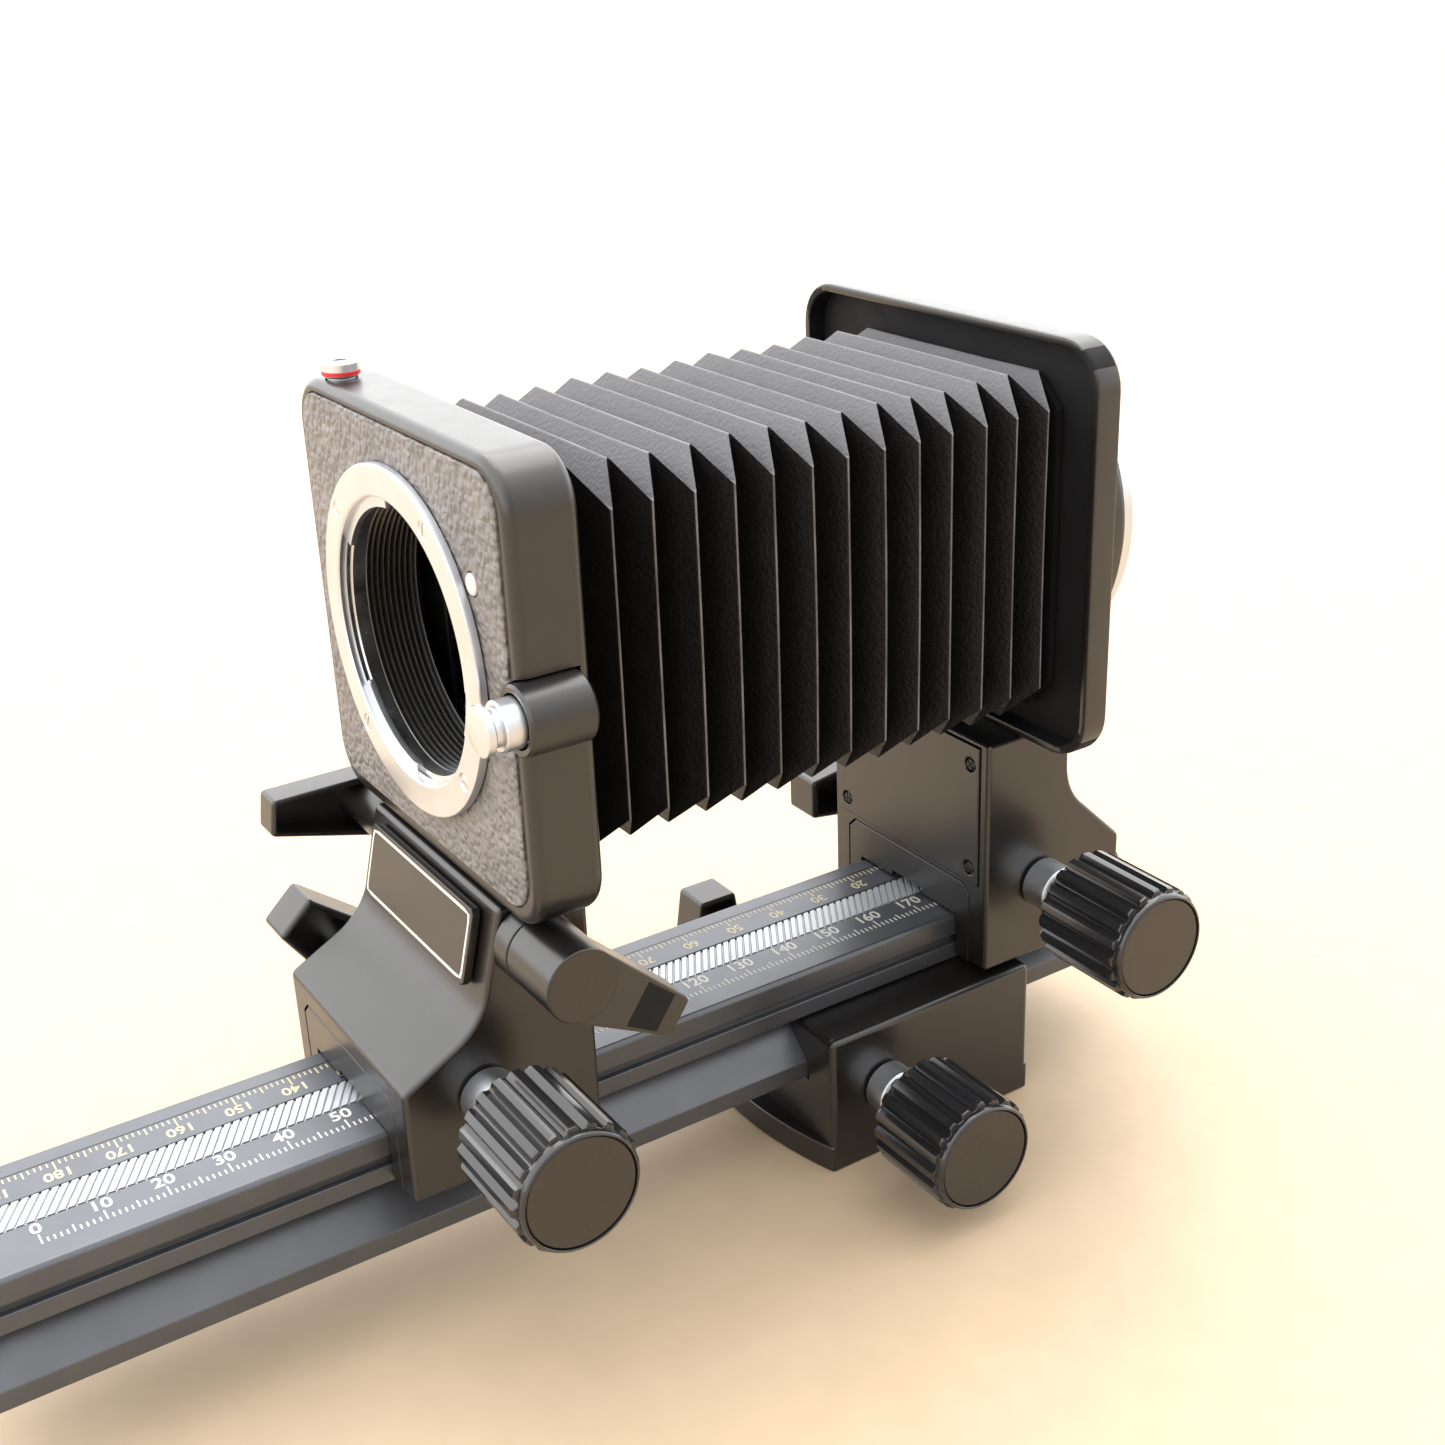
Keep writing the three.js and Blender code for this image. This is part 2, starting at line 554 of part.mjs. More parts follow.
function makeRearStandard() {
  const width = [-STANDARD_HALF, STANDARD_HALF];
  const drive = { ...standardDrive, y: REAR_KNOB_AT, lockAngle: Math.PI };
  const top = STANDARD_TOP;
  const cover = { half: 21.6, foot: 9.4, top: top - 1.2, thick: 1.2 };
  const coverPocket = box([-cover.half - GAP, cover.half + GAP],
    [REAR_FACE - 1, REAR_FACE + cover.thick], [cover.foot - GAP, cover.top + GAP]);
  const screwSeats = [-1, 1].flatMap((side) => [cover.foot + 3, cover.top - 4]
    .map((z) => [side * (cover.half - 2.4), z]));
  const gibPocket = [REAR_FACE - 1, REAR_FACE + GIB_THICK + GAP];
  add("rear_carriage", shape({
    join: [alongX(rearStandardOutline(), width)],
    cut: [
      alongY(tunnelOutline(), [REAR_FACE - 1, REAR_HEEL + 1]),
      alongY(gibOutline(GIB_HALF + GAP, GIB_TOP + GAP, STANDARD_FOOT - 2), gibPocket),
      coverPocket,
      ...driveHollows(drive),
    ],
  }), blackPaint);
  add("rear_gib_plate", alongY(gibOutline(GIB_HALF, GIB_TOP, STANDARD_FOOT),
    [REAR_FACE, REAR_FACE + GIB_THICK]), blackPaint);
  const coverSpan = [REAR_FACE - 0.4, REAR_FACE + cover.thick - GAP];
  add("rear_cover_plate", shape({
    join: [box([-cover.half, cover.half], coverSpan, [cover.foot, cover.top])],
    cut: screwSeats.map(([x, z]) => rodY(1.6, x, [coverSpan[0] - 1, coverSpan[0] + 0.8], z, 8)),
  }), blackPaint);
  screwSeats.forEach(([x, z], i) => {
    add(`cover_plate_screw_${i + 1}`,
      rodY(1.25, x, [coverSpan[0] - 0.1, coverSpan[0] + 0.5], z, SMALL_ROUND), steel);
  });
  makeDrive("rear", drive);
}

// Camera frame: a shallow hood round the end of the bellows, and the turning camera mount behind it
function makeCameraFrame() {
  const [front, back] = [CAMERA_FRAME_FRONT, CAMERA_FRAME_BACK];
  const wall = CAMERA_FRAME_WALL;
  add("camera_frame", shape({
    join: [alongY(roundedRectangle(CAMERA_FRAME_HALF_X, CAMERA_FRAME_HALF_Z, FRAME_CORNER, LENS_HEIGHT),
      [front, back])],
    cut: [
      alongY(roundedRectangle(CAMERA_FRAME_HALF_X - wall, CAMERA_FRAME_HALF_Z - wall,
        FRAME_CORNER - wall, LENS_HEIGHT), [front - 1, back - wall]),
      rodY(25, 0, [front - 1, back + 1], LENS_HEIGHT),
    ],
  }), blackPaint);
  const ringFront = CAMERA_BARREL_BACK + GAP;
  add("camera_mount_barrel", turnedY([[25, back + GAP], [25, CAMERA_BARREL_BACK],
    [CAMERA_BARREL_RADIUS - 0.8, CAMERA_BARREL_BACK], [CAMERA_BARREL_RADIUS, CAMERA_BARREL_BACK - 0.8],
    [CAMERA_BARREL_RADIUS, back + GAP]].reverse(), 0, LENS_HEIGHT, 40), blackPaint);
  const dotAngle = 0.1;
  const dot = { x: (CAMERA_RING_RADIUS - 2) * Math.cos(dotAngle),
    z: LENS_HEIGHT + (CAMERA_RING_RADIUS - 2) * Math.sin(dotAngle) };
  add("camera_bayonet_ring", shape({
    join: [turnedY([[22.5, ringFront], [22.5, CAMERA_FLANGE], [CAMERA_RING_RADIUS, CAMERA_FLANGE],
      [CAMERA_RING_RADIUS, ringFront]].reverse(), 0, LENS_HEIGHT, 40)],
    cut: [rodY(1.3, dot.x, [CAMERA_FLANGE - 0.9, CAMERA_FLANGE + 1], dot.z, SMALL_ROUND)],
  }), chrome);
  add("camera_index_dot", rodY(1, dot.x, [CAMERA_FLANGE - 0.6, CAMERA_FLANGE + 0.1], dot.z,
    SMALL_ROUND), redPaint);
}

// Tripod block: a dovetail slot over a foot whose ends bow out, and a screwed plate with two bushes
function slotOutline() {
  const room = 0.45;
  return mirrored([
    [NECK_HALF + room, BLOCK_TOP + 1], [NECK_HALF + room, -NECK_DEPTH + 0.1],
    [TAIL_HALF + room, TAIL_TOP + 0.1], [TAIL_HALF + room, TAIL_BOTTOM - room],
  ]);
}

function footPlan() {
  const outline = new THREE.Shape();
  const end = BLOCK_LENGTH / 2;
  const bowRadius = (BLOCK_HALF ** 2 + LIP_BULGE ** 2) / (2 * LIP_BULGE);
  const bowHalf = Math.asin(BLOCK_HALF / bowRadius);
  const centre = end + LIP_BULGE - bowRadius;
  outline.absarc(0, centre, bowRadius, Math.PI / 2 - bowHalf, Math.PI / 2 + bowHalf, false);
  outline.absarc(0, -centre, bowRadius, 1.5 * Math.PI - bowHalf, 1.5 * Math.PI + bowHalf, false);
  return outline;
}

function makeTripodBlock() {
  const span = [SEAT_AT - BLOCK_LENGTH / 2, SEAT_AT + BLOCK_LENGTH / 2];
  const seat = -SEAT_DROP;
  const foot = new THREE.ExtrudeGeometry(footPlan(), { ...flat, depth: LIP_HEIGHT });
  const drive = {
    half: BLOCK_HALF, y: BLOCK_KNOB_AT, z: BLOCK_KNOB_HEIGHT, shaft: BLOCK_SHAFT_RADIUS,
    pinion: CHANNEL_TOP - GAP - RACK_HEIGHT - GAP - BLOCK_KNOB_HEIGHT, knobEnd: 54,
    lockAngle: Math.PI / 2,
  };
  const plate = { halfX: 20.5, halfY: 20, thick: 2 };
  const bushes = [
    { name: "tripod_bush_large", y: SEAT_AT - 10, outer: 7, inner: 4.76, depth: 9 },
    { name: "tripod_bush_small", y: SEAT_AT + 10, outer: 5.2, inner: 3.18, depth: 9 },
  ];
  const screwSeats = [-1, 1].flatMap((sideX) => [-1, 1]
    .map((sideY) => [sideX * (plate.halfX - 3.5), SEAT_AT + sideY * (plate.halfY - 3.5)]));

  add("tripod_block", shape({
    join: [
      box([-BLOCK_HALF, BLOCK_HALF], span, [seat, BLOCK_TOP]),
      foot.translate(0, SEAT_AT, seat),
    ],
    cut: [
      alongY(slotOutline(), [span[0] - 1, span[1] + 1]),
      ...driveHollows(drive),
      box([-plate.halfX - GAP, plate.halfX + GAP],
        [SEAT_AT - plate.halfY - GAP, SEAT_AT + plate.halfY + GAP], [seat - 1, seat + plate.thick + GAP]),
      ...bushes.map((bush) => rodZ(bush.outer + GAP, 0, bush.y, [seat, seat + bush.depth + GAP], 24)),
    ],
  }), blackPaint);
  add("tripod_plate", shape({
    join: [box([-plate.halfX, plate.halfX], [SEAT_AT - plate.halfY, SEAT_AT + plate.halfY],
      [seat, seat + plate.thick])],
    cut: [
      ...bushes.map((bush) => rodZ(bush.outer + GAP, 0, bush.y, [seat - 1, seat + 4], 24)),
      ...screwSeats.map(([x, y]) => rodZ(2.1, x, y, [seat - 1, seat + 1.3], SMALL_ROUND)),
    ],
  }), steel);
  for (const bush of bushes) {
    add(bush.name, turnedZ([[bush.inner, seat], [bush.outer, seat], [bush.outer, seat + bush.depth],
      [bush.inner, seat + bush.depth]], 0, bush.y, 24), brass);
  }
  makeDrive("block", drive);
}

makeTripodBlock();
makeRail();
makeFrontStandard();
makeFrontLevers();
makeLensFrame();
makeBellows();
makeRearStandard();
makeCameraFrame();

export default assembly;
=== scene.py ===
"""Looks of a macro bellows for a camera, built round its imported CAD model.

Shapes are worked out in millimetres in rail coordinates: x across the rail, y the reading of the rail's
scale, z the height over the rail's top face. ORIGIN turns them into the frame's own coordinates.
"""

import json
import math

import bmesh
import bpy
from mathutils import Matrix, Vector


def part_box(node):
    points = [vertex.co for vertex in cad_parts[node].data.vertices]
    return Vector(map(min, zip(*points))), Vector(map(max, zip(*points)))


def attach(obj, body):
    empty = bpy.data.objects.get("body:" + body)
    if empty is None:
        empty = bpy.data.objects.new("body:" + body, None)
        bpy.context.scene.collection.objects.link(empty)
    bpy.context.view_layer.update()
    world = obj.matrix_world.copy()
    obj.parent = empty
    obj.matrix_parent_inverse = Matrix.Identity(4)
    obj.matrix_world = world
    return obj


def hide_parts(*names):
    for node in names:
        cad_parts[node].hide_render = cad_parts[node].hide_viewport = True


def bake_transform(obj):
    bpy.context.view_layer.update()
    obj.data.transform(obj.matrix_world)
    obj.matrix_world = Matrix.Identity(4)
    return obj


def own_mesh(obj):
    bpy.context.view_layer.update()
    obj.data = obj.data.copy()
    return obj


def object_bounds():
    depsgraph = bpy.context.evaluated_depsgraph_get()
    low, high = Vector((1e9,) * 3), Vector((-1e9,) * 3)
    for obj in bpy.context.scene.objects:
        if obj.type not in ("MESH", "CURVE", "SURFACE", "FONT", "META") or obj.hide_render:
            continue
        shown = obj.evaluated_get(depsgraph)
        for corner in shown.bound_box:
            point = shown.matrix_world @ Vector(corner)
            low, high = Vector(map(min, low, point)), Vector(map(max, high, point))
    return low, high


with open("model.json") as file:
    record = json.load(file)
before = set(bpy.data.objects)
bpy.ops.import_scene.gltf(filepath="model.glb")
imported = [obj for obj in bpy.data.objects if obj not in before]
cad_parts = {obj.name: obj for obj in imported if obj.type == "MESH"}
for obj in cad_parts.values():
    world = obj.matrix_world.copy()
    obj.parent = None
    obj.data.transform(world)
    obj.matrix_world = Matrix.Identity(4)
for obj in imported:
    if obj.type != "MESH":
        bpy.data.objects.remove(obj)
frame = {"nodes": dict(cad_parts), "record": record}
cad_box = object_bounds()

MM = 0.001
SCALE_START = 14.0  # the scale's zero is this far behind the rail's front end
rail_low, rail_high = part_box("rail")
ORIGIN = Vector((0, rail_low.y / MM + SCALE_START, rail_high.z / MM))
TURN = 2 * math.pi
OUTLINE = 240  # points round a frame's outline
HALF_STEP = TURN / OUTLINE / 2  # lines up a circle's points with an outline's


def extent(node):
    """A CAD node's box as (x0, x1), (y0, y1), (z0, z1) in rail coordinates."""
    low, high = (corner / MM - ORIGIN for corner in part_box(node))
    return tuple((low[i], high[i]) for i in range(3))


def middle(span):
    return (span[0] + span[1]) / 2


# Materials ------------------------------------------------------------------------------------------


def material(name, color, roughness, metallic=0.0, specular=0.5, grain=(0.2, 0.004), cells=None,
             mottle=0.05, smudge=0.05, painted_top_light=0.0):
    """A procedural finish. grain and cells are (size in mm, depth in mm) of a fine bump and of a pebbled
    one; mottle is how much the colour varies, smudge how much the roughness does, and the last one how
    much paler the surfaces that face up are painted: a painted highlight for the light from above."""
    made = bpy.data.materials.new(name)
    made.use_nodes = True
    nodes, links = made.node_tree.nodes, made.node_tree.links
    shader = nodes["Principled BSDF"]
    shader.inputs["Metallic"].default_value = metallic
    shader.inputs["Specular IOR Level"].default_value = specular
    place = nodes.new("ShaderNodeTexCoord").outputs["Object"]

    def noise(size, detail=3.0):
        node = nodes.new("ShaderNodeTexNoise")
        node.inputs["Scale"].default_value = 1 / (size * MM)
        node.inputs["Detail"].default_value = detail
        links.new(place, node.inputs["Vector"])
        return node.outputs["Fac"]

    cloud = noise(9.0)
    ramp = nodes.new("ShaderNodeValToRGB")
    ramp.color_ramp.elements[0].position = 0.35
    ramp.color_ramp.elements[1].position = 0.65
    ramp.color_ramp.elements[0].color = (*[c * (1 - mottle) for c in color], 1)
    ramp.color_ramp.elements[1].color = (*[min(1, c * (1 + mottle)) for c in color], 1)
    links.new(cloud, ramp.inputs["Fac"])
    # Painted light: surfaces that face up are painted paler, a painted highlight for the light from above.
    if painted_top_light:
        split = nodes.new("ShaderNodeSeparateXYZ")
        links.new(nodes.new("ShaderNodeTexCoord").outputs["Normal"], split.inputs["Vector"])
        top_light_mask = nodes.new("ShaderNodeMapRange")
        top_light_mask.inputs["From Min"].default_value = 0.1
        top_light_mask.inputs["From Max"].default_value = 0.45
        links.new(split.outputs["Z"], top_light_mask.inputs["Value"])
        mixed = nodes.new("ShaderNodeMix")
        mixed.data_type = "RGBA"
        links.new(top_light_mask.outputs["Result"], mixed.inputs[0])
        links.new(ramp.outputs["Color"], mixed.inputs[6])
        mixed.inputs[7].default_value = (painted_top_light, painted_top_light, painted_top_light * 1.06, 1)
        links.new(mixed.outputs[2], shader.inputs["Base Color"])
    else:
        links.new(ramp.outputs["Color"], shader.inputs["Base Color"])

    spread = nodes.new("ShaderNodeMapRange")
    spread.inputs["To Min"].default_value = roughness - smudge
    spread.inputs["To Max"].default_value = roughness + smudge
    links.new(noise(3.5, 6.0), spread.inputs["Value"])
    links.new(spread.outputs["Result"], shader.inputs["Roughness"])

    normal = None
    for kind, pattern in (("noise", grain), ("cells", cells)):
        if pattern is None:
            continue
        size, depth = pattern
        bump = nodes.new("ShaderNodeBump")
        bump.inputs["Strength"].default_value = 1.0
        bump.inputs["Distance"].default_value = depth * MM
        if kind == "noise":
            links.new(noise(size, 2.0), bump.inputs["Height"])
        else:
            voronoi = nodes.new("ShaderNodeTexVoronoi")
            voronoi.feature = "SMOOTH_F1"
            voronoi.inputs["Scale"].default_value = 1 / (size * MM)
            voronoi.inputs["Smoothness"].default_value = 0.6
            wander = nodes.new("ShaderNodeVectorMath")
            wander.operation = "MULTIPLY_ADD"
            wobble = nodes.new("ShaderNodeTexNoise")
            wobble.inputs["Scale"].default_value = 0.6 / (size * MM)
            links.new(place, wobble.inputs["Vector"])
            links.new(wobble.outputs["Color"], wander.inputs[0])
            wander.inputs[1].default_value = (size * MM,) * 3
            links.new(place, wander.inputs[2])
            links.new(wander.outputs["Vector"], voronoi.inputs["Vector"])
            flip = nodes.new("ShaderNodeMath")
            flip.operation = "SUBTRACT"
            flip.inputs[0].default_value = 1.0
            links.new(voronoi.outputs["Distance"], flip.inputs[1])
            links.new(flip.outputs["Value"], bump.inputs["Height"])
        if normal is not None:
            links.new(normal, bump.inputs["Normal"])
        normal = bump.outputs["Normal"]
    links.new(normal, shader.inputs["Normal"])
    return made


FINISHES = {
    "black_paint": material("satin_paint", (0.007, 0.006, 0.0055), 0.3, specular=0.72, grain=(0.28, 0.01),
                            mottle=0.12),
    "black_anodised": material("anodised", (0.075, 0.08, 0.092), 0.36, metallic=0.6, specular=0.9,
                               grain=(0.12, 0.003), mottle=0.06),
    "knob_plastic": material("gloss_plastic", (0.012, 0.012, 0.013), 0.16, specular=0.6, grain=(0.6, 0.002),
                             mottle=0.1, smudge=0.04),
    "cap_plastic": material("satin_plastic", (0.016, 0.012, 0.009), 0.28, specular=0.6, grain=(0.25, 0.003),
                            mottle=0.08),
    "leatherette": material("leatherette", (0.15, 0.138, 0.132), 0.5, specular=0.6, grain=(0.2, 0.02),
                            cells=(1.3, 0.8), mottle=0.16, smudge=0.08),
    # The bellows' upward faces are painted paler: a painted highlight for the light from above.
    "bellows_leather": material("bellows_leather", (0.002, 0.002, 0.0025), 0.5, specular=0.28,
                                grain=(0.3, 0.02), cells=(0.7, 0.08), mottle=0.2, smudge=0.08, painted_top_light=0.1),
    "chrome": material("satin_chrome", (0.62, 0.65, 0.7), 0.34, metallic=1.0, grain=(0.3, 0.0004),
                       mottle=0.03, smudge=0.04),
    "steel": material("steel", (0.66, 0.67, 0.68), 0.24, metallic=1.0, grain=(0.15, 0.002), smudge=0.08),
    "brass": material("brass", (0.7, 0.52, 0.25), 0.3, metallic=1.0, grain=(0.2, 0.002), mottle=0.06,
                      smudge=0.07),
    "white_paint": material("white_paint", (0.5, 0.49, 0.46), 0.45, mottle=0.04),
    "red_paint": material("red_paint", (0.5, 0.015, 0.02), 0.4, mottle=0.06),
}
CREAM = material("cream_paint", (0.42, 0.37, 0.24), 0.45)
DARK_LINE = material("dark_line", (0.008, 0.008, 0.009), 0.4, mottle=0.1)
WORN_EDGE = material("worn_edge", (0.09, 0.09, 0.095), 0.5, grain=(0.3, 0.01), mottle=0.4, smudge=0.1)
RACK_STEEL = material("rack_steel", (0.42, 0.44, 0.46), 0.42, metallic=0.5, grain=(0.2, 0.002), mottle=0.06)
FLAT_BLACK = material("flat_black", (0.004, 0.004, 0.005), 0.7, specular=0.25, grain=(0.2, 0.02), mottle=0.2,
                      smudge=0.1)

slot_of = {part["node"]: part["material_slot"] for part in frame["record"]["subparts"]}
for cad_node, cad_object in frame["nodes"].items():
    for holder in cad_object.material_slots:
        holder.material = FINISHES[slot_of[cad_node]]


# Mesh building --------------------------------------------------------------------------------------


def circle(radius, count=96, centre=(0, 0), start=0.0):
    return [
        (centre[0] + radius * math.cos(start + TURN * i / count),
         centre[1] + radius * math.sin(start + TURN * i / count))
        for i in range(count)
    ]


def rounded(half_a, half_b, corner, centre=(0, 0), count=160):
    """A rectangle with round corners whose points lie at even angles round its centre."""
    points = []
    for i in range(count):
        turn = TURN * (i + 0.5) / count
        c, s = math.cos(turn), math.sin(turn)
        low, high = 0.0, 2 * (half_a + half_b)
        for _ in range(40):
            reach = (low + high) / 2
            a, b = abs(reach * c), abs(reach * s)
            over_a, over_b = a - (half_a - corner), b - (half_b - corner)
            if over_a > 0 and over_b > 0:
                outside = math.hypot(over_a, over_b) > corner
            else:
                outside = a > half_a or b > half_b
            low, high = (low, reach) if outside else (reach, high)
        points.append((centre[0] + low * c, centre[1] + low * s))
    return points


def bend(points, corner_index, radius, steps=8):
    """An outline with one of its corners rounded."""
    before, at, after = (Vector(points[(corner_index + k) % len(points)]) for k in (-1, 0, 1))
    to_before, to_after = (before - at).normalized(), (after - at).normalized()
    half = to_before.angle(to_after) / 2
    reach = radius / math.tan(half)
    start, end = at + to_before * reach, at + to_after * reach
    centre = at + (to_before + to_after).normalized() * (radius / math.sin(half))
    arc = []
    for i in range(steps + 1):
        mixed = (start - centre).slerp(end - centre, i / steps)
        arc.append(tuple(centre + mixed))
    return points[:corner_index] + arc + points[corner_index + 1 :]


def turned(points, angle, centre):
    """Points turned about the origin by an angle, then set down on a centre."""
    c, s = math.cos(angle), math.sin(angle)
    return [(centre[0] + a * c - b * s, centre[1] + a * s + b * c) for a, b in points]


def ring_at(axis, along, outline):
    if axis == "x":
        return [(along, a, b) for a, b in outline]
    if axis == "y":
        return [(a, along, b) for a, b in outline]
    return [(a, b, along) for a, b in outline]


def loft(rings, closed=False):
    """A skin over rings of equally many points. A closed one joins its last ring to its first, and an open
    one gets a flat face over each end."""
    count = len(rings[0])
    verts = [point for ring in rings for point in ring]
    faces = []
    for i in range(len(rings) if closed else len(rings) - 1):
        a, b = i * count, (i + 1) % len(rings) * count
        faces += [(a + k, a + (k + 1) % count, b + (k + 1) % count, b + k) for k in range(count)]
    if not closed:
        faces += [tuple(range(count)), tuple(range((len(rings) - 1) * count, len(rings) * count))]
    return verts, faces


def prism(outline, axis, span):
    return loft([ring_at(axis, along, outline) for along in span])


def block(x, y, z):
    return prism([(x[0], z[0]), (x[1], z[0]), (x[1], z[1]), (x[0], z[1])], "y", y)


def lathe(profile, axis, centre, count=96, closed=False):
    """A turned shape from (radius, place along the axis) points. Closed for a ring, open for a solid."""
    return loft([ring_at(axis, along, circle(radius, count, centre)) for radius, along in profile], closed)


def joined(parts):
    verts, faces = [], []
    for part_verts, part_faces in parts:
        base = len(verts)
        verts += part_verts
        faces += [tuple(base + i for i in face) for face in part_faces]
    return verts, faces


def to_mesh(name, shape):
    verts, faces = shape
    mesh = bpy.data.meshes.new(name)
    mesh.from_pydata([(Vector(v) + ORIGIN) * MM for v in verts], [], faces)
    work = bmesh.new()
    work.from_mesh(mesh)
    bmesh.ops.remove_doubles(work, verts=work.verts, dist=1e-7)
    bmesh.ops.recalc_face_normals(work, faces=work.faces)
    work.to_mesh(mesh)
    work.free()
    return mesh


def link(name, mesh):
    obj = bpy.data.objects.new(name, mesh)
    bpy.context.scene.collection.objects.link(obj)
    return obj


def apply_modifiers(obj):
    graph = bpy.context.evaluated_depsgraph_get()
    baked = bpy.data.meshes.new_from_object(obj.evaluated_get(graph), depsgraph=graph)
    obj.modifiers.clear()
    obj.data = baked


def soften(obj, width, segments=3, angle=28):
    bevel = obj.modifiers.new("edge", "BEVEL")
    bevel.width = width * MM
    bevel.segments = segments
    bevel.limit_method = "ANGLE"
    bevel.angle_limit = math.radians(angle)
    bevel.use_clamp_overlap = True
    apply_modifiers(obj)


def carve(obj, cuts):
    """Cuts shapes out of obj."""
    for cut in cuts:
        tool = link("cut", to_mesh("cut", cut))
        modifier = obj.modifiers.new("cut", "BOOLEAN")
        modifier.operation = "DIFFERENCE"
        modifier.solver = "EXACT"
        modifier.object = tool
        apply_modifiers(obj)
        bpy.data.objects.remove(tool)


def shade(obj, angle=32):
    for polygon in obj.data.polygons:
        polygon.use_smooth = True
    obj.data.set_sharp_from_angle(angle=math.radians(angle))
    weighted = obj.modifiers.new("normals", "WEIGHTED_NORMAL")
    weighted.keep_sharp = True
    weighted.weight = 80
    apply_modifiers(obj)


def piece(name, shape, body, slot, replaces=(), edge=0.0, cuts=(), edge_after=0.0, finish=None, angle=32,
          segments=3):
    """One visible piece: built, its edges softened, cut, shaded, painted and set on its CAD body."""
    obj = link(name, to_mesh(name, shape))
    if edge:
        soften(obj, edge, segments)
    if cuts:
        carve(obj, cuts)
    if edge_after:
        soften(obj, edge_after, 2)
    shade(obj, angle)
    return dress(obj, body, slot, replaces, finish)


def dress(obj, body, slot, replaces=(), finish=None):
    obj.data.materials.clear()
    obj.data.materials.append(finish or FINISHES[slot])
    if body:
        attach(obj, body)
    if replaces:
        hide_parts(*replaces)
    return obj


def refined(node, body, slot, edge, segments=3, finish=None, angle=32, flat=1.5):
    """A CAD node's own shape with its facets merged and its edges softened."""
    source = frame["nodes"][node]
    obj = link(node + "_fine", source.data.copy())
    work = bmesh.new()
    work.from_mesh(obj.data)
    bmesh.ops.remove_doubles(work, verts=work.verts, dist=1e-7)
    bmesh.ops.dissolve_limit(work, angle_limit=math.radians(flat), verts=work.verts, edges=work.edges)
    work.to_mesh(obj.data)
    work.free()
    if edge:
        soften(obj, edge, segments)
    shade(obj, angle)
    return dress(obj, body, slot, (node,), finish)


def slotted_screw(radius, height, axis, place, slot_angle, direction):
    """A low domed screw head with a slot. direction is the side along the axis that the head faces."""
    along, a, b = place
    dome = [(radius, 0), (radius, height * 0.45), (radius * 0.86, height * 0.85), (radius * 0.5, height)]
    head = lathe([(r, along + direction * h) for r, h in dome], axis, (a, b), 32)
    half_long, half_wide = radius * 1.3, radius * 0.16
    corners = [(-half_long, -half_wide), (half_long, -half_wide), (half_long, half_wide),
               (-half_long, half_wide)]
    cut = prism(turned(corners, slot_angle, (a, b)), axis,
                [along + direction * height * 0.35, along + direction * (height + 1)])
    return head, cut


# Rail -----------------------------------------------------------------------------------------------

_, rail_y, rail_z = extent("rail")
rack_x, rack_y, rack_z = extent("top_rack")
refined("rail", "rail", "black_anodised", 0.22, 2)

RACK_SLANT = -4.0  # how far a tooth runs back from one side of the rack to the other
TOOTH_COUNT = 142
TOOTH_DEPTH = 0.4
tooth_pitch = (rack_y[1] - rack_y[0]) / TOOTH_COUNT


def slanted_rack():
    """Teeth that run at a slant across the rack, each with a flat top."""
    top, root, seat = rack_z[1], rack_z[1] - TOOTH_DEPTH, rack_z[0]
    sides = []
    for x, shift in ((rack_x[0], -RACK_SLANT / 2), (rack_x[1], RACK_SLANT / 2)):
        line = [(x, rack_y[0], seat), (x, rack_y[0], root)]
        for tooth in range(2, TOOTH_COUNT - 2):
            at = rack_y[0] + tooth * tooth_pitch + shift
            for share, height in ((0.08, root), (0.2, top), (0.84, top), (0.96, root)):
                line.append((x, at + share * tooth_pitch, height))
        line += [(x, rack_y[1], root), (x, rack_y[1], seat)]
        sides.append(line)
    return loft([sides[0], sides[1]])


piece("top_rack_teeth", slanted_rack(), "rail", "steel", ("top_rack",), angle=20, finish=RACK_STEEL)
for stop in ("rail_front_stop", "rail_rear_stop"):
    refined(stop, "rail", "steel", 0.12, 2, angle=40)

MARK_LIFT = 0.03
FONT_SCALE = 1.38  # a font's size over the height of its figures


def mark(x, y):
    return block(x, y, (rail_z[1] - 0.02, rail_z[1] + MARK_LIFT))


def ticks(side, outer, readings, to_place):
    """Tick marks on one side of the rail; every fifth and tenth one is longer."""
    parts = []
    for reading in readings:
        length = 2.5 if reading % 10 == 0 else 1.9 if reading % 5 == 0 else 1.2
        at = to_place(reading)
        across = sorted((side * outer, side * (outer - length)))
        parts.append(mark(across, (at - 0.14, at + 0.14)))
    return parts


def numeral(text, x, y, facing, height):
    """A number printed on the rail, centred on (x, y). facing 1 reads along +y, and -1 along -y."""
    curve = bpy.data.curves.new("numeral", "FONT")
    curve.body = text
    curve.size = height * FONT_SCALE
    curve.align_x = "CENTER"
    curve.align_y = "CENTER"
    curve.extrude = MARK_LIFT / 2
    curve.offset = 0.07
    curve.resolution_u = 5
    obj = link("numeral", curve)
    graph = bpy.context.evaluated_depsgraph_get()
    mesh = bpy.data.meshes.new_from_object(obj.evaluated_get(graph))
    lift = rail_z[1] + MARK_LIFT / 2
    verts = [(x - facing * v.co.y, y + facing * v.co.x, lift + v.co.z) for v in mesh.vertices]
    faces = [tuple(polygon.vertices) for polygon in mesh.polygons]
    bpy.data.objects.remove(obj)
    return verts, faces


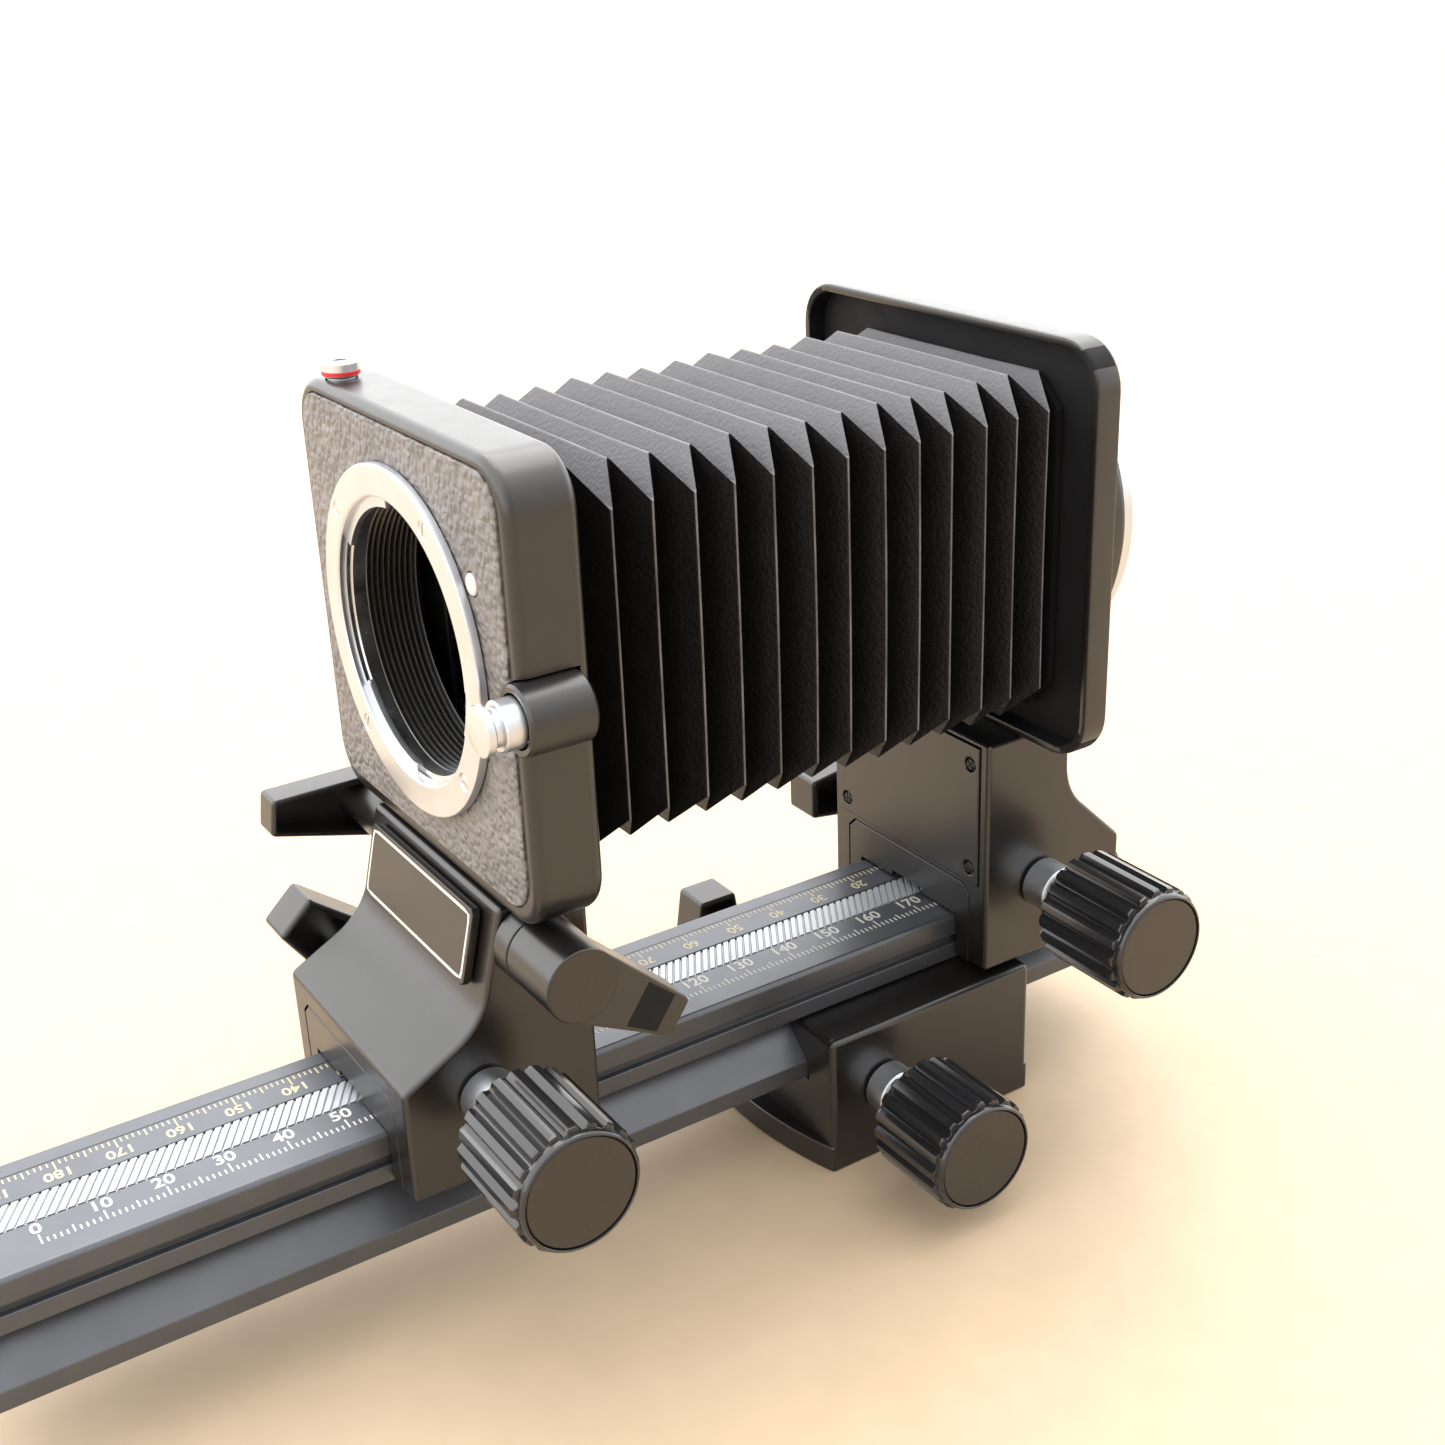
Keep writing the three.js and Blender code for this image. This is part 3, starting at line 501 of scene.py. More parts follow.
CREAM_NUMERAL_X = 6.3
WHITE_NUMERAL, CREAM_NUMERAL = 2.67, 2.35  # heights
MIRRORED_ZERO = 186.7  # the cream scale counts back from this reading of the white one
NUMERAL_X = 5.65
white_marks = ticks(1, 9.8, range(0, 201), lambda reading: reading)
white_marks += [numeral(str(tens), NUMERAL_X, tens, 1, WHITE_NUMERAL) for tens in range(0, 200, 10)]
piece("white_scale", joined(white_marks), "rail", "white_paint")
cream_marks = ticks(-1, 10.1, range(0, 196), lambda reading: MIRRORED_ZERO - reading)
cream_marks += [numeral(str(tens), -CREAM_NUMERAL_X, MIRRORED_ZERO - tens, -1, CREAM_NUMERAL)
                for tens in range(10, 200, 10)]
piece("cream_scale", joined(cream_marks), "rail", "white_paint", finish=CREAM)
# A thin dark line just outside the cream ticks: painted shadow beside the tick row.
painted_shadow_line = mark((-10.75, -10.45), (rail_y[0] + 8, rail_y[1] - 8))
piece("scale_painted_shadow", painted_shadow_line, "rail", "black_anodised", finish=DARK_LINE)

# Drives: knobs, collars and lock levers -------------------------------------------------------------

SHAFT_BORE = 3.1
FLUTES = 20
FLUTE_DEPTH = 1.05
GRIP_SETBACK = 3.6  # the bare neck between a collar and the knob's grip


def fluted_ring(radius, depth, centre, count=FLUTES * 10):
    """Round lands with narrower round-bottomed grooves between them."""
    points = []
    for i in range(count):
        turn = TURN * i / count
        wave = math.cos(FLUTES * turn)
        dip = max(0.0, 0.12 - wave) / 1.12
        reach = radius - depth * dip**0.75
        points.append((centre[0] + reach * math.cos(turn), centre[1] + reach * math.sin(turn)))
    return points


def make_knob(prefix, body):
    x, y, z = extent(f"{prefix}_knob")
    x = (x[0] + GRIP_SETBACK, x[1])
    cap_x, cap_y, _ = extent(f"{prefix}_knob_cap")
    centre = (middle(y), middle(z))
    radius = (y[1] - y[0]) / 2
    rim = radius - 0.75
    well = (cap_y[1] - cap_y[0]) / 2 + 0.25
    count = FLUTES * 10
    shoulder = x[1] - 1.7
    rings = [ring_at("x", x[0], circle(SHAFT_BORE, count, centre))]
    for along, size, depth in (
        (x[0], radius - 1.7, 0.0),
        (x[0] + 0.25, radius - 1.2, 0.1),
        (x[0] + 0.7, radius - 0.25, FLUTE_DEPTH * 0.7),
        (x[0] + 1.3, radius, FLUTE_DEPTH),
        (shoulder - 0.5, radius, FLUTE_DEPTH),
        (shoulder, radius - 0.2, FLUTE_DEPTH * 0.8),
        (shoulder + 0.15, rim, 0.12),
        (shoulder + 0.5, rim, 0.0),
        (x[1] - 0.45, rim - 0.08, 0.0),
        (x[1] - 0.12, rim - 0.32, 0.0),
        (x[1], rim - 0.62, 0.0),
        (x[1], well + 0.12, 0.0),
        (x[1] - 0.12, well, 0.0),
        (x[1] - 1.8, well, 0.0),
        (x[1] - 1.8, SHAFT_BORE, 0.0),
    ):
        rings.append(ring_at("x", along, fluted_ring(size, depth, centre)))
    piece(f"{prefix}_knob_grip", loft(rings, closed=True), body, "knob_plastic", (f"{prefix}_knob",),
          angle=38)

    cap = (cap_y[1] - cap_y[0]) / 2 + 0.12
    face = cap_x[1] + 0.28
    profile = [(cap, cap_x[0]), (cap, face - 0.25), (cap - 0.2, face - 0.05), (cap - 0.45, face),
               (cap * 0.5, face - 0.03), (0.6, face - 0.05)]
    piece(f"{prefix}_knob_disc", lathe(profile, "x", centre, 128), body, "cap_plastic",
          (f"{prefix}_knob_cap",))


def make_collar(prefix, body):
    """A bright flange on the bearing, and the coned neck that turns with the knob."""
    x, y, z = extent(f"{prefix}_bearing_collar")
    centre = (middle(y), middle(z))
    radius = min((y[1] - y[0]) / 2, 4.9)
    bore = 3.05
    profile = [(bore, x[0]), (radius - 0.3, x[0]), (radius, x[0] + 0.3), (radius, x[1] - 1.1),
               (radius - 0.25, x[1] - 0.8), (radius - 0.9, x[1] - 0.25), (radius - 1.2, x[1]), (bore, x[1])]
    piece(f"{prefix}_collar", lathe(profile, "x", centre, 96, closed=True), body, "chrome",
          (f"{prefix}_bearing_collar",))
    grip = extent(f"{prefix}_knob")[0][0] + GRIP_SETBACK
    start = x[1] + 0.3
    neck = [(3.0, start)]
    steps = 8
    for i in range(steps + 1):
        share = i / steps
        neck.append((radius - 0.5 - 1.5 * (1 - (1 - share) ** 2), start + (grip - start - 0.1) * share))
    neck.append((3.0, grip - 0.1))
    piece(f"{prefix}_neck", lathe(neck, "x", centre, 96, closed=True), f"{prefix}_drive", "chrome")


def lever_outline(hub, reach, tip_half, angle, centre, tip_corner=0.9, steps=40):
    """A lever seen from its side: a round hub and an arm that tapers to a tip with soft corners."""
    distance = math.hypot(reach, tip_half)
    touch = math.atan2(tip_half, reach) + math.acos(hub / distance)
    points = [(reach, -tip_half), (reach, tip_half)]
    for i in range(steps + 1):
        turn = touch + 2 * (math.pi - touch) * i / steps
        points.append((hub * math.cos(turn), hub * math.sin(turn)))
    points = bend(points, 1, tip_corner, 6)
    points = bend(points, 0, tip_corner, 6)
    return turned(points, angle, centre)


LOCK_HUB = 6.5
LOCK_REACH = 14.5
LOCK_WIDTH = 9.0


def make_lock(prefix, body, angle):
    x, _, _ = extent(f"{prefix}_lock_lever")
    _, y, z = extent(f"{prefix}_brake_disc")
    centre = (middle(y), middle(z))
    arm = prism(lever_outline(LOCK_HUB, LOCK_REACH, 4.2, angle, centre), "x", (x[0], x[0] + LOCK_WIDTH))
    pocket = prism(lever_outline(LOCK_HUB - 1.5, LOCK_REACH - 1.5, 2.9, angle, centre, 0.5), "x",
                   (x[0] + 2.2, x[0] + LOCK_WIDTH + 1))
    piece(f"{prefix}_lock_arm", arm, body, "black_paint", (f"{prefix}_lock_lever",), edge=0.8,
                  cuts=[pocket], edge_after=0.15)
    hub_end = extent(f"{prefix}_carriage")[0][0] if prefix != "block" else extent("tripod_block")[0][0]
    stem = [(4.0, x[0] + 2.0), (4.0, hub_end - 0.35), (3.6, hub_end - 0.3), (2.2, hub_end - 0.3)]
    piece(f"{prefix}_lock_stem", lathe(stem, "x", centre, 64), body, "steel")


for prefix, lock_angle in (("front", 0.74 * math.pi), ("rear", math.pi), ("block", math.pi / 2)):
    make_knob(prefix, f"{prefix}_drive")
    make_lock(prefix, f"{prefix}_lock", lock_angle)
make_collar("front", "lens_standard")
make_collar("rear", "camera_standard")
make_collar("block", "block")

# Pedestals ------------------------------------------------------------------------------------------

LEVER_PIVOT = (78.3, 32.5)  # the panel lock and the stop-down lever turn about this line
BAR_SIDE = 14.8  # half the rail bar's width
TUNNEL_GAP = 0.3


def tunnel(span):
    """The rail's own tunnel through a carriage, with the rib that runs in its groove."""
    side = BAR_SIDE + TUNNEL_GAP
    right = [(side, -12), (side, -5.95), (side - 1.2, -5.7), (side - 1.2, -5.1), (side, -4.85),
             (side, TUNNEL_GAP), (4.75, TUNNEL_GAP), (4.75, 1.4)]
    outline = right + [(-x, z) for x, z in reversed(right)]
    return prism(outline, "y", span)


def gib_pocket(half, top, span):
    corner = 2.0
    outline = [(-half, -12), (-half, top - corner), (-half + corner, top), (half - corner, top),
               (half, top - corner), (half, -12)]
    return prism(outline, "y", span)


def quadratic(a, b, c, steps=14):
    return [
        tuple((1 - t) ** 2 * p + 2 * t * (1 - t) * q + t * t * r for p, q, r in zip(a, b, c))
        for t in (i / steps for i in range(1, steps + 1))
    ]


def drive_holes(prefix, pinion=7.3):
    x, y, z = extent(f"{prefix}_shaft")
    body = "tripod_block" if prefix == "block" else f"{prefix}_carriage"
    half = extent(body)[0][1] + 1
    centre = (middle(y), middle(z))
    return [
        prism(circle((y[1] - y[0]) / 2 + 0.3, 32, centre), "x", (-half, half)),
        prism(circle(pinion, 64, centre), "x", (-5.75, 3.05)),
    ]


(front_x, front_y, front_z) = extent("front_carriage")
toe = front_y[0]
front_outline = [(toe, front_z[0]), (front_y[1], front_z[0]), (front_y[1], front_z[1]),
                 (toe + 19.3, front_z[1]), (toe + 15.9, 25.4)]
front_outline += quadratic((toe + 15.9, 25.4), (toe + 14.2, 19.2), (toe + 8.6, 16.5))
front_outline += [(toe, 11.9)]
piece(
    "front_casting",
    prism(front_outline, "x", front_x),
    "lens_standard",
    "black_paint",
    ("front_carriage",),
    edge=0.9,
    cuts=[
        tunnel((toe - 1, front_y[1] + 1)),
        gib_pocket(19.3, 8.3, (toe - 1, toe + 1.8)),
        *drive_holes("front"),
        prism(circle(3.3, 32, LEVER_PIVOT), "x", (front_x[0] - 1, front_x[1] + 1)),
    ],
)
refined("front_gib_plate", "lens_standard", "black_paint", 0.18, 2)

(rear_x, rear_y, rear_z) = extent("rear_carriage")
heel, top_back = rear_y[1], 194.3
rear_outline = [(rear_y[0], rear_z[0]), (heel, rear_z[0]), (heel, 10.9), (top_back + 4.6, 20.2)]
rear_outline += quadratic((top_back + 4.6, 20.2), (top_back, 24.2), (top_back, 30.5))
rear_outline += [(top_back, rear_z[1]), (rear_y[0], rear_z[1])]
cover_x, _, cover_z = extent("rear_cover_plate")
piece(
    "rear_casting",
    prism(rear_outline, "x", rear_x),
    "camera_standard",
    "black_paint",
    ("rear_carriage",),
    edge=0.9,
    cuts=[
        tunnel((rear_y[0] - 1, heel + 1)),
        gib_pocket(19.3, 8.3, (rear_y[0] - 1, rear_y[0] + 1.8)),
        block((cover_x[0] - 0.3, cover_x[1] + 0.3), (rear_y[0] - 1, rear_y[0] + 1.2),
              (cover_z[0] - 0.3, cover_z[1] + 0.3)),
        *drive_holes("rear"),
    ],
)
refined("rear_gib_plate", "camera_standard", "black_paint", 0.18, 2)
refined("rear_cover_plate", "camera_standard", "black_paint", 0.2, 3, angle=40)
for i in range(1, 5):
    node = f"cover_plate_screw_{i}"
    sx, sy, sz = extent(node)
    place = (sy[1], middle(sx), middle(sz))
    head, cut = slotted_screw(1.15, 0.5, "y", place, 0.2 * i, -1)
    _, cross = slotted_screw(1.15, 0.5, "y", place, 0.2 * i + math.pi / 2, -1)
    piece(f"{node}_head", head, "camera_standard", "steel", (node,), cuts=[cut, cross], finish=DARK_LINE)

# Nameplate: blank, with a thin cream border
plate_x, plate_y, plate_z = extent("nameplate")
LEAN = math.atan2(3.7, 15.2)


def leaning(shape):
    """A shape made upright about the nameplate's middle, leant back with the face of the pedestal."""
    verts, faces = shape
    cy, cz = middle(plate_y), middle(plate_z)
    c, s = math.cos(-LEAN), math.sin(-LEAN)
    return [(x, cy + y * c - z * s, cz + y * s + z * c) for x, y, z in verts], faces


PLATE_HALF = (19.7, 6.7)
plate_outline = rounded(*PLATE_HALF, 1.0, count=120)
piece("nameplate_blank", leaning(prism(plate_outline, "y", (-0.75, 0.75))), "lens_standard", "black_paint",
      ("nameplate",), edge=0.2, segments=2)
border_outer = rounded(PLATE_HALF[0] - 0.75, PLATE_HALF[1] - 0.75, 0.9, count=120)
border_inner = rounded(PLATE_HALF[0] - 1.3, PLATE_HALF[1] - 1.3, 0.5, count=120)
border = loft([ring_at("y", y, ring) for y,
               ring in ((-0.7, border_outer), (-0.78, border_outer), (-0.78, border_inner),
                                                     (-0.7, border_inner))], closed=True)
piece("nameplate_border", leaning(border), "lens_standard", "white_paint")

# Levers of the lens standard
refined("panel_lock_boss", "lens_standard", "black_paint", 0.25, 3, angle=40)
lever_x, _, _ = extent("panel_lock_lever")
RIGHT_ANGLE = -0.617
arm = prism(lever_outline(6.2, 20.6, 3.3, RIGHT_ANGLE, LEVER_PIVOT), "x", (lever_x[1] - 7, lever_x[1]))
piece("panel_lock_arm", arm, "panel_lock", "black_paint", ("panel_lock_lever",), edge=0.35)
# A flat black stripe just proud of the arm's outer face: painted shade standing for a hollow in the arm, like
# the pocket cut in the stop-down arm.
band_along = [(11.4, -3.9), (17.4, -3.3), (17.4, 3.3), (11.4, 3.9)]
band = prism(turned(band_along, RIGHT_ANGLE, LEVER_PIVOT), "x", (lever_x[1] - 6.9, lever_x[1] + 0.04))
piece("panel_lock_hollow_shade", band, "panel_lock", "black_paint", finish=FLAT_BLACK)
hub_profile = [(6.25, 29.0), (6.25, lever_x[1] - 0.1), (6.05, lever_x[1] + 0.08), (5.5, lever_x[1] + 0.1)]
piece("panel_lock_hub", lathe(hub_profile, "x", LEVER_PIVOT, 96), "panel_lock", "black_paint")
disc_profile = [(5.95, lever_x[1]), (5.95, lever_x[1] + 0.14), (5.8, lever_x[1] + 0.16),
                (1, lever_x[1] + 0.16)]
# A thin dark ring where the disc meets the hub: painted shade of the groove between them.
groove = lathe([(6.1, lever_x[1] + 0.1), (6.1, lever_x[1] + 0.125), (5.9, lever_x[1] + 0.125),
                (5.9, lever_x[1] + 0.1)], "x",
               LEVER_PIVOT, 96, closed=True)
piece("panel_lock_groove_shade", groove, "panel_lock", "black_paint", finish=DARK_LINE)
piece("panel_lock_disc", lathe(disc_profile, "x", LEVER_PIVOT, 96), "panel_lock", "cap_plastic")

stop_x, _, _ = extent("stop_down_lever")
LEFT_ANGLE = 0.955 * math.pi
arm = prism(lever_outline(6.2, 19.6, 3.4, LEFT_ANGLE, LEVER_PIVOT), "x", (stop_x[0], stop_x[0] + 6.5))
pocket = prism(lever_outline(4.9, 18.3, 2.3, LEFT_ANGLE, LEVER_PIVOT, 0.5), "x",
               (stop_x[0] + 1.6, stop_x[0] + 8))
piece("stop_down_arm", arm, "stop_down", "black_paint", ("stop_down_lever",), edge=0.7, cuts=[pocket],
      edge_after=0.12)
stem = lathe([(4.6, stop_x[0] + 1.7), (4.6, -24.6), (4.3, -24.35), (3.0, -24.35)], "x", LEVER_PIVOT, 64)
piece("stop_down_stem", stem, "stop_down", "black_paint")

# Lens frame -----------------------------------------------------------------------------------------

lens_x, lens_y, lens_z = extent("lens_frame")
lens_height = middle(extent("lens_mount_ring")[2])
lens_half = ((lens_x[1] - lens_x[0]) / 2, (lens_z[1] - lens_z[0]) / 2)
CORNER = 8.5
PANEL_CORNER = 6
FRAME_BORE, PANEL_BORE = 25.6, 26.9
panel_x, panel_y, panel_z = extent("lens_panel_leather")
panel_half_x, panel_half_z = (panel_x[1] - panel_x[0]) / 2, (panel_z[1] - panel_z[0]) / 2
boss_x, boss_y, boss_z = extent("release_boss")
release = (middle(boss_x), middle(boss_z))
release_room = prism(circle((boss_x[1] - boss_x[0]) / 2 + 0.3, 64, release), "y", (60, boss_y[1] + 0.3))
socket_x, socket_y, socket_z = extent("cable_socket")
socket = (middle(socket_x), middle(socket_y))


def bore_ring(radius, along, height):
    """The edge of a round hole, with its points in line with an outline's."""
    return ring_at("y", along, circle(radius, OUTLINE, (0, height), HALF_STEP))


def panel_ring(inset, along):
    """The leather panel's outline drawn in by inset; the well that it lies in is drawn out."""
    outline = rounded(panel_half_x - inset, panel_half_z - inset, PANEL_CORNER - inset, (0, lens_height),
                      OUTLINE)
    return ring_at("y", along, outline)


def frame_ring(inset, along, count=OUTLINE):
    outline = rounded(lens_half[0] - inset, lens_half[1] - inset, CORNER - inset, (0, middle(lens_z)), count)
    return ring_at("y", along, outline)


WELL_DEPTH = 0.6
well = (panel_half_x + 0.3, panel_half_z + 0.3)
bevel = min(lens_z[1] - lens_height - well[1], lens_half[0] - well[0], 2.2) - 0.1
quarter = [math.pi / 2 * i / 8 for i in range(9)]
rings = [frame_ring(bevel * (1 - math.cos(t)), lens_y[1] - bevel * (1 - math.sin(t)))
         for t in reversed(quarter)]
rings += [frame_ring(bevel * (1 - math.cos(t)), lens_y[0] + bevel * (1 - math.sin(t))) for t in quarter]
for along in (lens_y[0], lens_y[0] + WELL_DEPTH):
    rings.append(panel_ring(-0.3, along))
rings += [bore_ring(FRAME_BORE, along, lens_height) for along in (lens_y[0] + WELL_DEPTH, lens_y[1])]
piece("lens_frame_shell", loft(rings, closed=True), "lens_standard", "black_paint", ("lens_frame",),
      cuts=[release_room, prism(circle(2.7, 32, socket), "z", (lens_z[1] - 5, lens_z[1] + 1))], angle=40)

dot_x, dot_y, dot_z = extent("lens_index_dot")
dot = (middle(dot_x), middle(dot_z))
panel_rings = [
    panel_ring(0, lens_y[0] + 0.3),
    panel_ring(0, panel_y[0] + 0.25),
    panel_ring(0.3, panel_y[0]),
    bore_ring(PANEL_BORE, panel_y[0], lens_height),
    bore_ring(PANEL_BORE, lens_y[0] + 0.3, lens_height),
]
piece("lens_panel_covering", loft(panel_rings, closed=True), "lens_standard", "leatherette",
      ("lens_panel_leather",), cuts=[release_room, prism(circle(2.0, 48, dot), "y", (60, 80))], angle=40)
dot_profile = [(1.7, dot_y[1]), (1.7, dot_y[0] + 0.15), (1.5, dot_y[0]), (0.3, dot_y[0] - 0.02)]
piece("lens_index_bead", lathe(dot_profile, "y", dot, 64), "lens_standard", "white_paint",
      ("lens_index_dot",))

# The lens mount: a broad satin ring with four countersunk screws and three bayonet lugs inside it
ring_x, ring_y, _ = extent("lens_mount_ring")
ring_radius = (ring_x[1] - ring_x[0]) / 2
THROAT = 23.5
SCREW_CIRCLE = 26.3
mount_profile = [
    (THROAT, ring_y[0] + 0.35), (THROAT + 0.2, ring_y[0] + 0.1), (THROAT + 0.45, ring_y[0]),
    (ring_radius - 0.45, ring_y[0]), (ring_radius - 0.12, ring_y[0] + 0.12), (ring_radius, ring_y[0] + 0.4),
    (ring_radius, lens_y[0] - 0.8), (26.6, lens_y[0] - 0.8), (26.6, lens_y[0] + 0.3),
    (THROAT, lens_y[0] + 0.3),
]
screw_cuts, screw_heads = [], []
for turn in (0.32, 0.77, 1.27, 1.78):
    angle = turn * math.pi
    at = (SCREW_CIRCLE * math.cos(angle), lens_height + SCREW_CIRCLE * math.sin(angle))
    screw_cuts.append(lathe([(1.55, ring_y[0] - 0.5), (1.55, ring_y[0] + 0.02), (1.0, ring_y[0] + 0.5),
                             (1.0, ring_y[0] + 0.9)],
                            "y", at, 32))
    screw_heads.append((at, angle))
lock_notch = block((THROAT - 1, THROAT + 1.5), (ring_y[0] - 1, ring_y[0] + 0.9),
                   (lens_height - 2.6, lens_height - 0.6))
piece("lens_bayonet", lathe(mount_profile, "y", (0, lens_height), 200, closed=True), "lens_standard",
      "chrome", ("lens_mount_ring",), cuts=[*screw_cuts, lock_notch], angle=30)
for i, (at, angle) in enumerate(screw_heads, 1):
    head, cut = slotted_screw(1.35, 0.35, "y", (ring_y[0] + 0.42, *at), angle + 0.4, -1)
    piece(f"bayonet_screw_{i}", head, "lens_standard", "steel", cuts=[cut])


def arc_segment(inner, outer, start, end, span, steps=40):
    """Part of a ring about the lens axis, between two angles."""
    turns = [start + (end - start) * i / steps for i in range(steps + 1)]
    outline = [(outer * math.cos(t), lens_height + outer * math.sin(t)) for t in turns]
    outline += [(inner * math.cos(t), lens_height + inner * math.sin(t)) for t in reversed(turns)]
    return prism(outline, "y", span)


lugs = [arc_segment(21.6, THROAT + 0.3, start, start + 0.95, (ring_y[0] + 1.1, ring_y[0] + 2.3))
        for start in (-0.45, 1.65, 3.75)]
piece("bayonet_lugs", joined(lugs), "lens_standard", "chrome", edge=0.15, segments=2)
step_profile = [(THROAT - 0.02, ring_y[0] + 1.2), (22.9, ring_y[0] + 1.3), (22.9, ring_y[0] + 2.0),
                (22.4, ring_y[0] + 2.2), (22.4, lens_y[0] + 2.6), (THROAT - 0.02, lens_y[0] + 2.6)]
piece("bayonet_inner_step", lathe(step_profile, "y", (0, lens_height), 160, closed=True), "lens_standard",
      "steel")

_, throat_y, _ = extent("lens_throat_tube")
baffle = [(25.2, throat_y[0] + 1.8)]
RIDGES = 9
for i in range(RIDGES):
    at = throat_y[0] + 1.8 + (throat_y[1] - throat_y[0] - 1.8) * i / RIDGES
    baffle += [(22.2, at), (22.9, at + 0.55)]
baffle += [(22.4, throat_y[1]), (25.2, throat_y[1])]
piece("throat_baffle", lathe(baffle, "y", (0, lens_height), 120, closed=True), "lens_standard", "black_paint",
      ("lens_throat_tube",), angle=20)

# Lens release
boss_radius = (boss_x[1] - boss_x[0]) / 2
boss_profile = [(4.3, boss_y[0] + 0.1), (4.5, boss_y[0]), (boss_radius - 0.4, boss_y[0]),
                (boss_radius, boss_y[0] + 0.4),
                (boss_radius, boss_y[1] - 0.5), (boss_radius - 0.5, boss_y[1]), (2.8, boss_y[1]), (2.8, 76.5),
                (4.3, 76.5)]
piece("release_housing", lathe(boss_profile, "y", release, 96, closed=True), "lens_standard", "black_paint",
      ("release_boss",), angle=40)
button_x, button_y, _ = extent("lens_release_button")
button_radius = (button_x[1] - button_x[0]) / 2
start = button_y[0]
button_profile = [(0.4, start + 0.02), (button_radius - 0.5, start), (button_radius - 0.1, start + 0.15),
                  (button_radius, start + 0.45), (button_radius, start + 1.2),
                  (button_radius - 0.3, start + 1.5),
                  (button_radius - 1.0, start + 1.6), (button_radius - 1.0, start + 2.8),
                  (button_radius - 0.3, start + 2.9),
                  (button_radius, start + 3.2), (button_radius, start + 6.2), (2.5, start + 6.3),
                  (2.5, button_y[1])]
piece("release_plunger", lathe(button_profile, "y", release, 96), "lens_release", "chrome",
      ("lens_release_button",), angle=36)

spring_x, spring_y, _ = extent("release_spring")
WIRE = 0.22
COILS = 2.5
coil_radius = (spring_x[1] - spring_x[0]) / 2 - WIRE - 0.1
wire_rings = []
for i in range(int(COILS * 32) + 1):
    turn = TURN * i / 32
    along = spring_y[0] + WIRE + (spring_y[1] - spring_y[0] - 2 * WIRE) * i / (COILS * 32)
    wire_rings.append([
        (release[0] + (coil_radius + a) * math.cos(turn), along + b,
         release[1] + (coil_radius + a) * math.sin(turn))
        for a, b in circle(WIRE, 10)
    ])
spring = piece("release_spring_coil", loft(wire_rings), None, "steel", ("release_spring",), angle=60)
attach(spring, "lens_standard")
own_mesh(spring)

# Cable release socket with its red ring
top = lens_z[1]
socket_radius = (socket_x[1] - socket_x[0]) / 2
socket_profile = [(1.4, socket_z[0]), (2.4, socket_z[0]), (2.4, top + 0.4), (socket_radius - 0.3, top + 0.4),
                  (socket_radius, top + 0.7), (socket_radius, socket_z[1] - 0.5),
                  (socket_radius - 0.4, socket_z[1]), (1.8, socket_z[1]), (1.4, socket_z[1] - 0.3)]
piece("cable_release_socket", lathe(socket_profile, "z", socket, 72, closed=True), "lens_standard", "chrome",
      ("cable_socket",), angle=36)
red = [(socket_radius + grow, top + lift) for grow,
       lift in ((-0.05, 0.7), (0.1, 0.8), (0.1, 1.4), (-0.05, 1.5))]
piece("socket_red_ring", lathe(red, "z", socket, 72, closed=True), "lens_standard", "red_paint")

# Bellows --------------------------------------------------------------------------------------------

PLEATS = 14
FRONT_PLEATS = 7
REAR_RUN = PLEATS - FRONT_PLEATS - 0.5  # the last pleat is cut off at its ridge, on the rear plate
bellows_start = extent("bellows_front_plate")[1][1] + 0.1
bellows_end = extent("bellows_rear_plate")[1][0] + 0.3
pitch = (bellows_end - bellows_start) / (FRONT_PLEATS + REAR_RUN)
TALL = (24.1, 108.0, 44.8)  # half width, top and foot where the top and bottom are folded outwards
WIDE = (31.6, 101.8, 52.0)  # the same where the sides are folded outwards, half a pleat away
EDGE_STEPS = 14
FOLD_ROUNDING = 0.05


def section(share, swell, sag, inset=0.0):
    """One ring of the bellows between its wide section (share 0) and its tall one (share 1), with its long
    edges cut up so that they can bow a little. Its corners run along the diagonal folds."""
    half, top, foot = (wide + (tall - wide) * share for wide, tall in zip(WIDE, TALL))
    half, top, foot = half + swell - inset, top + sag - inset, foot - sag * 0.6 + inset
    corners = [(half, top), (half, foot), (-half, foot), (-half, top)]
    points = []
    for i, (x0, z0) in enumerate(corners):
        x1, z1 = corners[(i + 1) % 4]
        for k in range(EDGE_STEPS):
            t = k / EDGE_STEPS
            bow = 0.5 * math.sin(math.pi * t)
            outward = ((1, 0), (0, -0.6), (-1, 0), (0, 1))[i]
            points.append((x0 + (x1 - x0) * t + outward[0] * bow * swell,
                           z0 + (z1 - z0) * t + outward[1] * bow * sag))
    return points


def fold_rows(end):
    """Places along the bellows, in pleats, with the share of the tall section at each. A fold's edge is
    rounded, so its share stops short of the full one and turns over a short way."""
    rows = []
    for place in (0.0, FOLD_ROUNDING * 0.5, FOLD_ROUNDING, 0.25, 0.5 - FOLD_ROUNDING,
                  0.5 - FOLD_ROUNDING * 0.5, 0.5,
                  0.5 + FOLD_ROUNDING * 0.5, 0.5 + FOLD_ROUNDING, 0.75, 1 - FOLD_ROUNDING,
                  1 - FOLD_ROUNDING * 0.5, 1.0):
        if place > end:
            break
        near = min(abs(place - edge) for edge in (0.0, 0.5, 1.0))
        share = 1 - abs(2 * place - 1)
        if near < FOLD_ROUNDING:
            dull = (FOLD_ROUNDING - near) ** 2 / FOLD_ROUNDING
            share += dull if share < 0.5 else -dull
        rows.append((place, share))
    return rows


